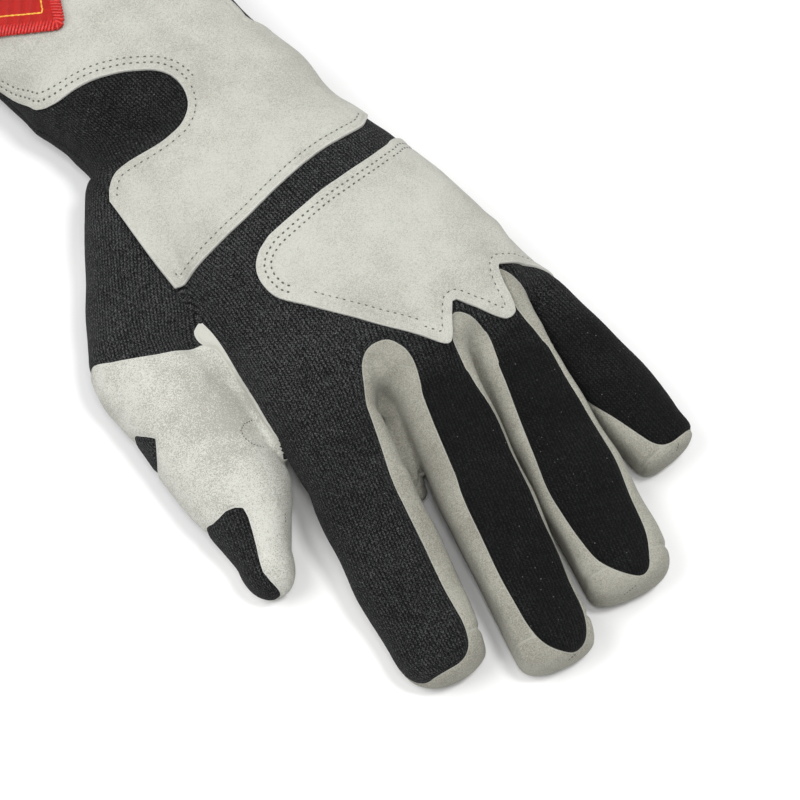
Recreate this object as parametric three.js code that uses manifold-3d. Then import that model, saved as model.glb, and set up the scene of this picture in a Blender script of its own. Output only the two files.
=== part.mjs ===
// Left-hand racing glove, lying palm down with its fingers along -Y and its cuff towards +Y.
// Lengths are in millimetres, +Z is up and the surface it lies on is z = 0.
import * as THREE from 'three';
import { mergeVertices } from 'three/addons/utils/BufferGeometryUtils.js';
import Module from 'manifold-3d';

const wasm = await Module();
wasm.setup();

// Driving dimensions
const CLOTH = 1.6;            // wall of the knit and suede shell
const OVERLAY = 1.2;          // suede laid over the knit
const GUARD = 1.6;            // lightly padded suede over the knuckles
const PATCH = 1.3;            // woven patch with its thick border
const SEAM_GAP = 0.3;         // clearance between neighbouring pieces
const ROUNDNESS = 2.4;        // power of the rounded hand section, 2 would be an ellipse
const FINGER_ROUNDNESS = 2.3;
const SIDE_SEAM_Z = 17;       // height of the seam between back and palm
const REACH = 22;             // how far a cutting wedge stands out from a finger's middle
const TOP = 60;               // above everything
const ORIGIN = { x: -10.6, y: 51.1 };   // middle of the glove's outline, on the surface it lies on

const HAND_SIDES = 24;
const FINGER_SIDES = 12;
const THUMB_SIDES = 14;

const station = (x, y, z, halfWidth, halfHeight) => ({ x, y, z, halfWidth, halfHeight });

// Cuff, wrist and hand, from the open end to the roots of the fingers
const HAND = {
  sides: HAND_SIDES,
  power: ROUNDNESS,
  rootCap: 0,
  tipCap: 8,
  ringsAt: [0, 1, 2, 2.6, 3, 3.3, 3.6, 4, 4.5, 5, 6, 7, 8, 9],
  rows: [
    station(-46, 181, 17, 44, 17.4),
    station(-39, 155.5, 17, 38.6, 17.4),
    station(-31.6, 131.5, 17, 34.9, 17.8),
    station(-24.1, 107, 17.3, 33.9, 18.1),
    station(-17.9, 87.5, 17.5, 34.2, 18.3),
    station(-13.6, 70, 18, 34.6, 18.8),
    station(-6.4, 52, 18.5, 38.8, 19.3),
    station(-2.8, 33, 18.5, 40.2, 19.3),
    station(1, 14, 18.6, 42.5, 18.4),
    station(2.8, 2, 18.5, 42.3, 15),
  ],
};

// Angles are measured round a finger from its top and bound its black back: thumbSide towards the thumb,
// littleSide away from it, each at the root, at both thirds of the length and at the tip.
// blackEnd is how far the black back runs into the rounded tip.
const FINGERS = {
  index: {
    lane: ['thumb', 'indexMiddle'],
    tipCap: 15, blackEnd: 12.5, thumbSide: [104, 104, 104, 104], littleSide: [42, 36, 36, 30],
    rows: [
      station(-24.2, 24, 20.8, 14.3, 11.7), station(-23.2, 5, 20.8, 14.6, 11.7), station(-22.6, -10, 19.8, 14.6, 11.2),
      station(-22.4, -30, 17.3, 14.6, 10.7), station(-22.6, -46, 13.6, 13.8, 10.4), station(-22.2, -58, 11.1, 13.5, 10.4),
      station(-21.4, -68, 9.6, 13.1, 10.4),
    ],
  },
  middle: {
    lane: ['indexMiddle', 'middleRing'],
    tipCap: 15.5, blackEnd: 13, thumbSide: [27, 35, 38, 28], littleSide: [30, 44, 57, 47],
    rows: [
      station(8, 20, 20.3, 12.6, 11.2), station(7.9, 0, 20.3, 12.6, 11.2), station(6.9, -27, 17.3, 12.8, 10.7),
      station(6, -47, 14.1, 13, 10.4), station(6, -65, 11.1, 12.8, 10.4), station(6.2, -76, 9.6, 12.5, 10.4),
    ],
  },
  ring: {
    lane: ['middleRing', 'ringLittle'],
    tipCap: 15, blackEnd: 8, thumbSide: [34, 40, 53, 32], littleSide: [20, 39, 51, 34],
    rows: [
      station(31, 20, 18.3, 12.5, 10.7), station(31, 1, 17.8, 12.5, 10.7), station(30.8, -23, 15.3, 12.5, 10.5),
      station(31.2, -40, 12.8, 12.7, 10.4), station(31.6, -57, 10.6, 13, 10.4), station(31.8, -67, 9.6, 13.2, 10.4),
    ],
  },
  little: {
    lane: ['ringLittle', 'outside'],
    tipCap: 11.5, blackEnd: 5, thumbSide: [70, 72, 58, 20], littleSide: [100, 100, 100, 90],
    rows: [
      station(36, 14, 14.8, 8.8, 9.7), station(41.8, 3, 14.3, 9.6, 10), station(47.2, -13, 12.3, 10.5, 9.5),
      station(50.8, -24, 10.8, 10.8, 9.4), station(53.8, -35, 9.4, 11, 9.4), station(55.9, -41, 8.6, 10.6, 9.4),
    ],
  },
};
const PALM_SEAM_ANGLES = [112, 112, 112, 112];   // where the gussets between the fingers meet the palm suede
const FINGER_ROOT_CAP = 8;
const UNDERLAP = 12;          // angle by which a gusset is cut large before the back is taken out of it
const GUSSET_END = 6;         // how far a gusset runs into the rounded tip

const THUMB = {
  sides: THUMB_SIDES,
  power: 2.2,
  rootCap: 8,
  tipCap: 17,
  rows: [
    station(-37.5, 90, 16, 14.8, 13.5), station(-44.5, 74, 15.5, 15.6, 14.5), station(-50, 60, 14.8, 15.8, 14.6),
    station(-55.5, 44, 13.6, 16.8, 14), station(-58.6, 30, 12.6, 17.7, 13.4), station(-56.8, 16, 12.2, 15.6, 12.8),
    station(-54.6, 2, 11.8, 15.5, 12.4), station(-52.8, -12, 11, 14, 11.8), station(-53.2, -24, 9.8, 9.8, 10.6),
  ],
};

// Folds where the cloth gathers at the wrist: a line seen from above, how deep it lies and how wide it is
const fold = (x0, y0, x1, y1, depth, width) => ({ x0, y0, x1, y1, depth, width });
const FOLDS = [
  fold(-56, 97, -34, 88, 2.4, 5),
  fold(-60, 106, -56, 103, 1.8, 3),
  fold(-58, 112, -44, 104, -1, 4),
];

// Outlines seen from above, each drawn round the piece. A curve runs through its points.
const point = (x, y) => new THREE.Vector2(x, y);
const KNUCKLE_GUARD = {
  hem: [point(58, 74), point(24.5, 59.4), point(6.1, 51.5), point(-7.1, 47.3), point(-18.9, 43.3)],
  tip: [point(-25.2, 37.4), point(-26.1, 33.6), point(-23.5, 25.5)],
  lower: [point(-17.5, 20.1), point(-3.2, 8.4), point(7.5, 0.1)],
  spikes: [point(12.6, -3.6), point(14.2, -2.4), point(18.1, 6.6), point(19.9, 6.6), point(24.7, 2.5),
    point(31, -2), point(33.9, -0.6), point(34.1, 11)],
  side: [point(35.2, 12.8), point(41.5, 10.2), point(48.9, 4.6), point(62, -4)],
};
const CUFF_OVERLAY = {
  hem: [point(60, 84), point(21, 69.3), point(1, 61), point(-14, 54.4), point(-28.6, 47.3), point(-37.2, 44.8),
    point(-44.6, 43.4)],
  thumbEdge: [point(-48.4, 56.6), point(-50.6, 66.7), point(-51.9, 76.4)],
  notch: [point(-50, 80), point(-44.8, 82.4), point(-37, 82.8), point(-29.5, 84), point(-23.6, 88.4), point(-21, 94.5),
    point(-22.6, 100.6), point(-28, 104.4), point(-41.1, 107.1), point(-52, 107.9)],
  outerEdge: [point(-59.3, 111), point(-65.8, 124), point(-72, 140), point(-82, 166)],
  end: [point(-86, 169.2), point(-2, 194.4)],
  littleEdge: [point(-10, 158), point(-2, 130), point(2.6, 117), point(8, 109), point(40, 104)],
};
const OVERLAY_LOW = SIDE_SEAM_Z + SEAM_GAP;   // the overlays are sewn into the side seam
const PATCH_CORNER = point(-44.2, 125.5);
const PATCH_EDGES = [point(8.8, 39), point(-23.4, 11.4)];
const PATCH_ROUND = 3;

// Gussets show as a loop round the root between two fingers
const LOOPS = [
  {
    name: 'gusset_index_middle', from: 'index', to: 'middle',
    outline: [point(-12.8, -10), point(-11.4, -1), point(-8.6, 2.8), point(-5, 4.1), point(-1.4, 3.4), point(1.2, 0),
      point(2, -4), point(1, -10)],
  },
  {
    name: 'gusset_middle_ring', from: 'middle', to: 'ring',
    outline: [point(14.8, -10), point(14.6, -2), point(16, 2.6), point(18.4, 4), point(21, 2.4), point(23.6, -1.6),
      point(23.7, -10)],
  },
  {
    name: 'gusset_ring_little', from: 'ring', to: 'little',
    outline: [point(37.4, -9), point(35.7, -2.2), point(34.4, 2), point(34.2, 10.4), point(35.4, 11.4), point(37.9, 8.4),
      point(39.8, 1.6), point(43, -9)],
  },
];
// Planes midway between neighbours, drawn on the plan at the height LANE_Z, and how far each leans per height
const LANE_Z = 16;
const LANES = {
  thumb: { lean: 0, line: [point(-41, 40), point(-41, -10), point(-39, -30), point(-38, -100)] },
  indexMiddle: { lean: 0, line: [point(-6, 40), point(-6.4, 0), point(-7.4, -40), point(-7.4, -100)] },
  middleRing: { lean: 0, line: [point(19.4, 40), point(19.4, 0), point(18.8, -50), point(18.8, -100)] },
  ringLittle: {
    lean: 0,
    line: [point(39.6, 40), point(39.6, -14), point(41, -22), point(42.6, -30), point(43.2, -38), point(44.6, -46),
      point(47, -100)],
  },
  outside: { lean: 0, line: [point(90, 40), point(90, -100)] },
};
const FINGER_GAP = 0.4;       // between two fingers that lie against each other

// Thumb panels seen from above
const THUMB_SEAM = [point(-53, 90), point(-52.5, 76), point(-50.6, 62), point(-48.6, 52), point(-45.6, 41),
  point(-44.2, 33), point(-43.8, 27)];
const THUMB_SUEDE_TOP = [point(-43.8, 27), point(-48.3, 27.4), point(-56.2, 28.5), point(-62, 29.9), point(-67.9, 31.8),
  point(-72.9, 34.6), point(-84, 44)];
const THUMB_HAND_EDGE = [point(-43.8, 27), point(-42.3, 18), point(-40.1, 2.7), point(-38.4, -9), point(-38.4, -30),
  point(-39, -44)];
const THUMB_TIP_EDGE = [point(-80, -18), point(-64.9, -18.2), point(-61.4, -18.9), point(-57.8, -18.5),
  point(-54.5, -19.5), point(-54.6, -25), point(-56.3, -34.5), point(-52.5, -44)];
const THUMB_SIDE_CUT = [point(-80, 18), point(-72.4, 14.2), point(-68.1, 8.6), point(-70.1, 3.7), point(-80, -6)];
const THUMB_STRIP_TOP = 7;    // the knit strip along the thumb's outer side lies below this height
const THUMB_STRIP_LOW = 1.8;
const THUMB_STRIP_INSIDE = 0.62;
const THUMB_STRIP_AT_BASE = [1.6, 3.9];   // station numbers between which the strip is as high as the base panel
const THUMB_STRIP_BELOW = [3.4, 7.8];     // and between which it runs on to the tip
const THUMB_PALM_Z = 4.5;     // the palm suede takes the thumb's underside below this height
const THUMB_BASE_Z = 10;      // the knit at the thumb's base ends here towards the palm

const WRIST_SEAM = [point(-90, 66), point(40, 104.5)];   // where the palm suede ends under the wrist

// Section through a tube of stations
function sectionAt(rows, t) {
  const last = rows.length - 1;
  const i = Math.min(Math.floor(t), last - 1);
  const f = t - i;
  const beyond = (from, over) => Object.fromEntries(Object.keys(from).map((k) => [k, 2 * from[k] - over[k]]));
  const p0 = i > 0 ? rows[i - 1] : beyond(rows[0], rows[1]);
  const p3 = i + 2 <= last ? rows[i + 2] : beyond(rows[last], rows[last - 1]);
  const value = {};
  const slope = {};
  for (const key of Object.keys(rows[0])) {
    const [a, b, c, d] = [p0[key], rows[i][key], rows[i + 1][key], p3[key]];
    value[key] = 0.5 * (2 * b + (c - a) * f + (2 * a - 5 * b + 4 * c - d) * f * f + (3 * b - a - 3 * c + d) * f ** 3);
    slope[key] = 0.5 * (c - a + 2 * (2 * a - 5 * b + 4 * c - d) * f + 3 * (3 * b - a - 3 * c + d) * f * f);
  }
  const along = new THREE.Vector3(slope.x, slope.y, slope.z).normalize();
  const side = new THREE.Vector3(-along.y, along.x, 0).normalize();
  const up = new THREE.Vector3().crossVectors(side, along).normalize();
  if (up.z < 0) up.negate();
  return { centre: new THREE.Vector3(value.x, value.y, value.z), along, side, up, ...value };
}

function foldDepth(p) {
  let depth = 0;
  for (const f of FOLDS) {
    const dx = f.x1 - f.x0;
    const dy = f.y1 - f.y0;
    const s = THREE.MathUtils.clamp(((p.x - f.x0) * dx + (p.y - f.y0) * dy) / (dx * dx + dy * dy), 0, 1);
    const away = Math.hypot(p.x - f.x0 - s * dx, p.y - f.y0 - s * dy) / f.width;
    depth += f.depth * Math.exp(-away * away);
  }
  return p.z > SIDE_SEAM_Z / 2 ? depth : 0;
}

function ring(section, sides, power, offset, shift, shrink) {
  const points = [];
  const middle = section.centre.clone().addScaledVector(section.along, shift);
  const rounded = (v) => Math.sign(v) * Math.abs(v) ** (2 / power);
  for (let i = 0; i < sides; i += 1) {
    const angle = (2 * Math.PI * (i + 0.5)) / sides;
    const p = middle.clone()
      .addScaledVector(section.side, rounded(Math.sin(angle)) * (section.halfWidth + offset) * shrink)
      .addScaledVector(section.up, rounded(Math.cos(angle)) * (section.halfHeight + offset) * shrink);
    const inward = middle.clone().sub(p).normalize();
    points.push(p.addScaledVector(inward, foldDepth(p)));
  }
  return points;
}

// Skin over a row of rings with the same number of points, closed at both ends
function skin(rings) {
  const sides = rings[0].length;
  const positions = rings.flat().flatMap((p) => [p.x, p.y, p.z]);
  const index = [];
  for (let r = 0; r + 1 < rings.length; r += 1) {
    for (let i = 0; i < sides; i += 1) {
      const [a, b] = [r * sides + i, r * sides + ((i + 1) % sides)];
      index.push(a, b, a + sides, b, b + sides, a + sides);
    }
  }
  for (const [r, flip] of [[0, true], [rings.length - 1, false]]) {
    const middle = positions.length / 3;
    const centre = rings[r].reduce((sum, p) => sum.add(p), new THREE.Vector3()).divideScalar(sides);
    positions.push(centre.x, centre.y, centre.z);
    for (let i = 0; i < sides; i += 1) {
      const [a, b] = [r * sides + i, r * sides + ((i + 1) % sides)];
      index.push(...(flip ? [b, a, middle] : [a, b, middle]));
    }
  }
  return toSolid(positions, index);
}

function signedVolume(positions, index) {
  let volume = 0;
  const corner = (i) => new THREE.Vector3(positions[3 * i], positions[3 * i + 1], positions[3 * i + 2]);
  for (let i = 0; i < index.length; i += 3) {
    const [a, b, c] = [corner(index[i]), corner(index[i + 1]), corner(index[i + 2])];
    volume += a.dot(b.cross(c)) / 6;
  }
  return volume;
}

function toSolid(positions, index) {
  const faces = signedVolume(positions, index) > 0 ? index : [...index].reverse();
  const mesh = new wasm.Mesh({
    numProp: 3, vertProperties: Float32Array.from(positions), triVerts: Uint32Array.from(faces),
  });
  return new wasm.Manifold(mesh);
}

const CAP_ANGLES = [30, 56, 80];
// A tube through the stations, grown by offset, with rounded ends where the tube has a cap
function tube(shape, offset = 0, openBy = 0) {
  const last = shape.rows.length - 1;
  const rings = [];
  const capRing = (t, sign, depth, degrees) => {
    const e = Math.sin(THREE.MathUtils.degToRad(degrees));
    const shrink = (1 - e ** shape.power) ** (1 / shape.power);
    return ring(sectionAt(shape.rows, t), shape.sides, shape.power, offset, sign * e * (depth + offset), shrink);
  };
  if (shape.rootCap > 0) {
    for (const a of [...CAP_ANGLES].reverse()) rings.push(capRing(0, -1, shape.rootCap, a));
  } else if (openBy > 0) {
    rings.push(ring(sectionAt(shape.rows, 0), shape.sides, shape.power, offset, -openBy, 1));
  }
  const places = shape.ringsAt ?? shape.rows.map((row, i) => i);
  for (const t of places) rings.push(ring(sectionAt(shape.rows, t), shape.sides, shape.power, offset, 0, 1));
  for (const a of CAP_ANGLES) rings.push(capRing(last, 1, shape.tipCap, a));
  return skin(rings);
}

// A prism over an outline seen from above
function prism(outline, low, high) {
  const geometry = new THREE.ExtrudeGeometry(new THREE.Shape(outline), { depth: high - low, bevelEnabled: false });
  geometry.deleteAttribute('normal');
  geometry.deleteAttribute('uv');
  geometry.translate(0, 0, low);
  const merged = mergeVertices(geometry, 1e-4);
  return toSolid(Array.from(merged.attributes.position.array), Array.from(merged.index.array));
}

function box(x0, y0, x1, y1, low, high) {
  return prism([point(x0, y0), point(x1, y0), point(x1, y1), point(x0, y1)], low, high);
}

// All that lies on one side of a lane's plane: side is 1 towards the little finger, -1 towards the thumb
function besideLane({ lean, line }, side, grow) {
  const edge = line.map((p) => point(p.x - side * grow, p.y));
  const far = [point(side * 250, line.at(-1).y), point(side * 250, line[0].y)];
  const slab = prism([...edge, ...far], -5, TOP);
  return slab.warp((v) => { v[0] += lean * (v[2] - LANE_Z); });
}

function lane({ lane: [left, right] }, grow) {
  return besideLane(LANES[left], 1, grow).intersect(besideLane(LANES[right], -1, grow));
}

const alongFour = (values, f) => {
  const i = Math.min(Math.floor(f * 3), 2);
  return values[i] + (values[i + 1] - values[i]) * (f * 3 - i);
};

const FAN = 2;
// A wedge along a finger between two angles from its top, each given by four values along the finger
function wedge(finger, fromAngles, toAngles, start, end, grow = 0) {
  const last = finger.rows.length - 1;
  const turn = THREE.MathUtils.radToDeg(grow / finger.rows[last].halfWidth);
  const spans = fromAngles.length - 1;
  const rings = [];
  for (let i = 0; i <= spans; i += 1) {
    const f = i / spans;
    const s = sectionAt(finger.rows, start + (last - start) * f);
    const low = alongFour(fromAngles, f) - turn;
    const high = alongFour(toAngles, f) + turn;
    const middle = s.centre.clone().addScaledVector(s.along, i < spans ? 0 : end + grow).addScaledVector(s.up, -grow);
    const points = [middle];
    for (let k = 0; k <= FAN; k += 1) {
      const a = THREE.MathUtils.degToRad(low + ((high - low) * k) / FAN);
      points.push(middle.clone().addScaledVector(s.side, -Math.sin(a) * REACH).addScaledVector(s.up, Math.cos(a) * REACH));
    }
    rings.push(points);
  }
  return skin(rings).intersect(lane(finger, 0));
}

const mirrored = (values) => values.map((v) => -v);
const widened = (values, by) => values.map((v) => v + by);
// Scraps that are left where three cuts meet are dropped
const mainPiece = (solid) => solid.decompose().sort((a, b) => b.volume() - a.volume())[0];
const joined = (solids) => solids.reduce((sum, s) => sum.add(s));
const curve = (points, count = 16) => new THREE.SplineCurve(points).getPoints(count);

// The same outline drawn larger (or smaller, when by is negative) all round
function grownOutline(outline, by) {
  const n = outline.length;
  const turning = Math.sign(THREE.ShapeUtils.area(outline));
  return outline.map((p, i) => {
    const before = outline[(i + n - 1) % n];
    const after = outline[(i + 1) % n];
    const u = p.clone().sub(before).normalize();
    const v = after.clone().sub(p).normalize();
    const normal = point(u.y + v.y, -u.x - v.x).normalize();
    const scale = Math.max(0.5, Math.sqrt((1 + u.dot(v)) / 2));
    return p.clone().addScaledVector(normal, (turning * by) / scale);
  });
}

// Hand, fingers and thumb as one skin, grown by offset
function gloveSolid(offset, openBy = 0) {
  const parts = [tube(HAND, offset, openBy), tube(THUMB, offset)];
  for (const finger of Object.values(FINGERS)) {
    const shape = { ...finger, sides: FINGER_SIDES, power: FINGER_ROUNDNESS, rootCap: FINGER_ROOT_CAP };
    parts.push(tube(shape, offset).intersect(lane(finger, offset - FINGER_GAP / 2)));
  }
  return joined(parts).intersect(box(-200, -200, 200, 300, -Math.min(offset, 0), TOP));
}

const outer = gloveSolid(0);
const shell = outer.subtract(gloveSolid(-CLOTH, 12));

// Regions that share the shell between the panels
const loopPrism = (loop, grow) => prism(grownOutline(loop.outline, grow), SIDE_SEAM_Z - 9 - grow, TOP);

function gussetRegion(loop, grow) {
  const [from, to] = [FINGERS[loop.from], FINGERS[loop.to]];
  const start = 1.25;
  return joined([
    loopPrism(loop, grow),
    wedge(from, mirrored(PALM_SEAM_ANGLES), widened(mirrored(from.littleSide), UNDERLAP), start, GUSSET_END, grow),
    wedge(to, widened(to.thumbSide, -UNDERLAP), PALM_SEAM_ANGLES, start, GUSSET_END, grow),
  ]);
}

function backRegion(grow) {
  const upper = box(-120, 0 - grow, 90, 260, SIDE_SEAM_Z - grow, TOP);
  const wedges = Object.values(FINGERS).map((f) => wedge(f, mirrored(f.littleSide), f.thumbSide, 0.5, f.blackEnd, grow));
  return joined([upper, ...wedges]);
}

const thumbBaseOutline = [...THUMB_SEAM, ...THUMB_SUEDE_TOP.slice(1), point(-95, 60), point(-75, 94)];
const thumbSuedeOutline = [...THUMB_SUEDE_TOP.slice().reverse(), ...THUMB_HAND_EDGE.slice(1), point(-90, -60)];
// The part of the thumb outside a line along it, between two stations
function outerStrip(fromT, toT) {
  const inside = [0, 0.34, 0.67, 1].map((f) => {
    const s = sectionAt(THUMB.rows, fromT + f * (toT - fromT));
    return point(s.x - THUMB_STRIP_INSIDE * s.halfWidth, s.y);
  });
  return [...inside, point(-95, inside[3].y), point(-95, inside[0].y)];
}

function thumbKnitRegion(grow) {
  return joined([
    prism(grownOutline(thumbBaseOutline, grow), THUMB_BASE_Z - grow, TOP),
    prism(grownOutline(outerStrip(...THUMB_STRIP_AT_BASE), grow), THUMB_STRIP_LOW - grow, THUMB_BASE_Z + 1),
    prism(grownOutline(outerStrip(...THUMB_STRIP_BELOW), grow), THUMB_STRIP_LOW - grow, THUMB_STRIP_TOP + grow),
    prism(grownOutline([...THUMB_TIP_EDGE, point(-90, -50)], grow), THUMB_PALM_Z - grow, TOP),
    prism(grownOutline(THUMB_SIDE_CUT, grow), THUMB_PALM_Z - grow, TOP),
  ]);
}
const thumbSuedeRegion = (grow) => prism(grownOutline(thumbSuedeOutline, grow), THUMB_PALM_Z - grow, TOP);
const cuffRegion = (grow) => prism([
  point(WRIST_SEAM[0].x, WRIST_SEAM[0].y - grow), point(WRIST_SEAM[1].x, WRIST_SEAM[1].y - grow),
  point(90, 104.5 - grow), point(90, 260), point(-150, 260), point(-150, 66 - grow),
], -5, TOP);

const thumbZone = (grow) => thumbKnitRegion(grow).add(thumbSuedeRegion(grow));
const gussets = (grow) => joined(LOOPS.map((loop) => gussetRegion(loop, grow)));

const thumbKnit = shell.intersect(thumbKnitRegion(0));
const thumbSuede = shell.intersect(thumbSuedeRegion(0)).subtract(thumbKnitRegion(SEAM_GAP));
const loopPrisms = joined(LOOPS.map((loop) => loopPrism(loop, SEAM_GAP)));
const backKnit = shell.intersect(backRegion(0)).subtract(thumbZone(SEAM_GAP)).subtract(loopPrisms);
const gussetSolids = LOOPS.map((loop) => {
  const own = shell.intersect(gussetRegion(loop, 0)).subtract(thumbZone(SEAM_GAP));
  return own.subtract(backRegion(SEAM_GAP).subtract(loopPrism(loop, 0)));
});
const under = shell.subtract(backRegion(SEAM_GAP)).subtract(gussets(SEAM_GAP)).subtract(thumbZone(SEAM_GAP));
const cuffUnder = under.intersect(cuffRegion(0));
const palmSuede = under.subtract(cuffRegion(SEAM_GAP));

// Pieces laid over the knit
const layer = (low, high) => gloveSolid(high).subtract(gloveSolid(low, 12));
const overlayOutline = [
  ...curve(CUFF_OVERLAY.hem, 8), ...CUFF_OVERLAY.thumbEdge, ...curve(CUFF_OVERLAY.notch, 13),
  ...CUFF_OVERLAY.outerEdge, ...CUFF_OVERLAY.end, ...CUFF_OVERLAY.littleEdge,
];
const guardOutline = [
  ...curve(KNUCKLE_GUARD.hem, 6), ...curve(KNUCKLE_GUARD.tip, 5), ...KNUCKLE_GUARD.lower, ...KNUCKLE_GUARD.spikes,
  ...KNUCKLE_GUARD.side,
];
const cuffOverlay = layer(SEAM_GAP, SEAM_GAP + OVERLAY).intersect(prism(overlayOutline, OVERLAY_LOW, TOP));
const knuckleGuard = layer(SEAM_GAP, SEAM_GAP + GUARD).intersect(prism(guardOutline, OVERLAY_LOW, TOP));

function roundedPatch() {
  const [e1, e2] = PATCH_EDGES;
  const corners = [PATCH_CORNER, PATCH_CORNER.clone().add(e1), PATCH_CORNER.clone().add(e1).add(e2),
    PATCH_CORNER.clone().add(e2)];
  const outline = [];
  corners.forEach((corner, i) => {
    const before = corners[(i + 3) % 4].clone().sub(corner).setLength(PATCH_ROUND).add(corner);
    const after = corners[(i + 1) % 4].clone().sub(corner).setLength(PATCH_ROUND).add(corner);
    outline.push(...new THREE.QuadraticBezierCurve(before, corner, after).getPoints(3));
  });
  return outline;
}
const patchLow = 2 * SEAM_GAP + OVERLAY;
const patch = layer(patchLow, patchLow + PATCH).intersect(prism(roundedPatch(), SIDE_SEAM_Z, TOP));

const MATERIALS = {
  knit: new THREE.MeshStandardMaterial({ color: 0x232528, roughness: 0.95, metalness: 0 }),
  suede: new THREE.MeshStandardMaterial({ color: 0xcdcbc2, roughness: 0.9, metalness: 0 }),
  overlay: new THREE.MeshStandardMaterial({ color: 0xd2d0c8, roughness: 0.9, metalness: 0 }),
  patch: new THREE.MeshStandardMaterial({ color: 0xd22a1c, roughness: 0.8, metalness: 0 }),
};

function toMesh(solid, name, material) {
  const { numProp, vertProperties, triVerts } = mainPiece(solid).getMesh();
  const positions = new Float32Array((vertProperties.length / numProp) * 3);
  for (let i = 0; i < positions.length / 3; i += 1) {
    for (let k = 0; k < 3; k += 1) positions[3 * i + k] = vertProperties[numProp * i + k];
  }
  const geometry = new THREE.BufferGeometry();
  geometry.setAttribute('position', new THREE.BufferAttribute(positions, 3));
  geometry.setIndex(Array.from(triVerts));
  geometry.computeVertexNormals();
  const mesh = new THREE.Mesh(geometry, MATERIALS[material]);
  mesh.name = name;
  return mesh;
}

const glove = new THREE.Group();
glove.add(toMesh(backKnit, 'back_knit', 'knit'));
glove.add(toMesh(cuffUnder, 'cuff_under_knit', 'knit'));
glove.add(toMesh(palmSuede, 'palm_suede', 'suede'));
LOOPS.forEach((loop, i) => glove.add(toMesh(gussetSolids[i], loop.name, 'suede')));
glove.add(toMesh(thumbKnit, 'thumb_knit', 'knit'));
glove.add(toMesh(thumbSuede, 'thumb_suede', 'suede'));
glove.add(toMesh(knuckleGuard, 'knuckle_guard', 'overlay'));
glove.add(toMesh(cuffOverlay, 'cuff_overlay', 'overlay'));
glove.add(toMesh(patch, 'cuff_patch', 'patch'));
glove.position.set(-ORIGIN.x, -ORIGIN.y, 0);

export default glove;
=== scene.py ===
"""Left-hand racing glove lying palm down: black knit, grey suede palm, knuckle guard and cuff overlay.

The tables hold millimetres. The glove's fingers point along -Y, its cuff along +Y, and +Z is up.
Every mesh is moved by ORIGIN and scaled to metres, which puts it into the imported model's own frame.
"""
import logging
import math
from dataclasses import dataclass, field
from enum import Enum
from typing import Iterable, NamedTuple, Sequence

import bpy
import numpy as np
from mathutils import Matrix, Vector
from mathutils.kdtree import KDTree


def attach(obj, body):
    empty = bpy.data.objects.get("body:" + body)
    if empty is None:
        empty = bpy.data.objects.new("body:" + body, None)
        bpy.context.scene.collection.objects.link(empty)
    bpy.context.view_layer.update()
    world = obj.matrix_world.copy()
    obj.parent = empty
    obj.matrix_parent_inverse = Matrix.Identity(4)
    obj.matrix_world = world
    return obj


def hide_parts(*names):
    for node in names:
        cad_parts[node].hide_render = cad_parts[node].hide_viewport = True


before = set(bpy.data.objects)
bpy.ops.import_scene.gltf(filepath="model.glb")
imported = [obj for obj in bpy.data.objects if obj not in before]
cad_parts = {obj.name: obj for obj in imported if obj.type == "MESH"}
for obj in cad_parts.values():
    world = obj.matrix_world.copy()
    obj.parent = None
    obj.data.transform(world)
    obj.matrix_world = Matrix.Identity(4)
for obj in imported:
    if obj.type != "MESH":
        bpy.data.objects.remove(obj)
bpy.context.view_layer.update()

Array = np.ndarray
Colour = tuple[float, float, float]
Row = tuple[np.ndarray, np.ndarray, np.ndarray]
log = logging.getLogger("glove")

MM = 0.001
ORIGIN = np.array([-10.6, 51.1, 0.0])   # middle of the glove's outline, on the floor
CELL = 1.0                  # size of the grid that the skin is made on
CLOTH = 1.6                 # wall of the knit and suede shell
SIDE_SEAM_Z = 17.0          # height of the seam between back and palm
EDGE_BLEND = 3.0            # blend of the knit's two edges, a quarter of which comes off where they meet
FINGER_GAP = 0.4            # between two fingers that lie against each other
GRID_GAP = 1.9              # the same gap while the grid is read, so that it isn't missed
FAR = 10.0                  # distance given to points that are nowhere near a tube
CAST_ON = 6.0               # length past the cuff's mouth that is made and then cut off
SMALLEST_PART = 30          # fewest faces of a part that is kept
WELL_INSIDE = 5.0           # distance given to points that are all on one panel
GRID_LOW = (-97.0, -95.0, -3.0)
GRID_HIGH = (67.0, 202.0, 42.0)
GRID_PARTS = 12             # the grid is read in so many parts, to spare memory
LONGEST_PULL = 1.5          # farthest that a point moves towards the surface at once
EVENING = 0.55              # share of the way that a point moves to the middle of its neighbours
BODY = "root"


class Station(NamedTuple):
    """A section through a tube of cloth."""

    x: float
    y: float
    z: float
    half_width: float
    half_height: float


def smooth_min(a: Array, b: Array, blend: float) -> Array:
    """The smaller of two distances, rounded where they meet.

    Args:
        a: First distance.
        b: Second distance.
        blend: Difference within which the two are blended.

    Returns:
        The blended distance.
    """
    share = np.clip(0.5 + 0.5 * (b - a) / blend, 0, 1)
    return b + (a - b) * share - blend * share * (1 - share)


def smooth_max(a: Array, b: Array, blend: float) -> Array:
    """The larger of two distances, rounded where they meet."""
    return -smooth_min(-a, -b, blend)


def smooth_step(start: float, end: float, x: Array) -> Array:
    """A soft step from 0 at start to 1 at end."""
    share = np.clip((x - start) / (end - start), 0, 1)
    return share * share * (3 - 2 * share)


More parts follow.
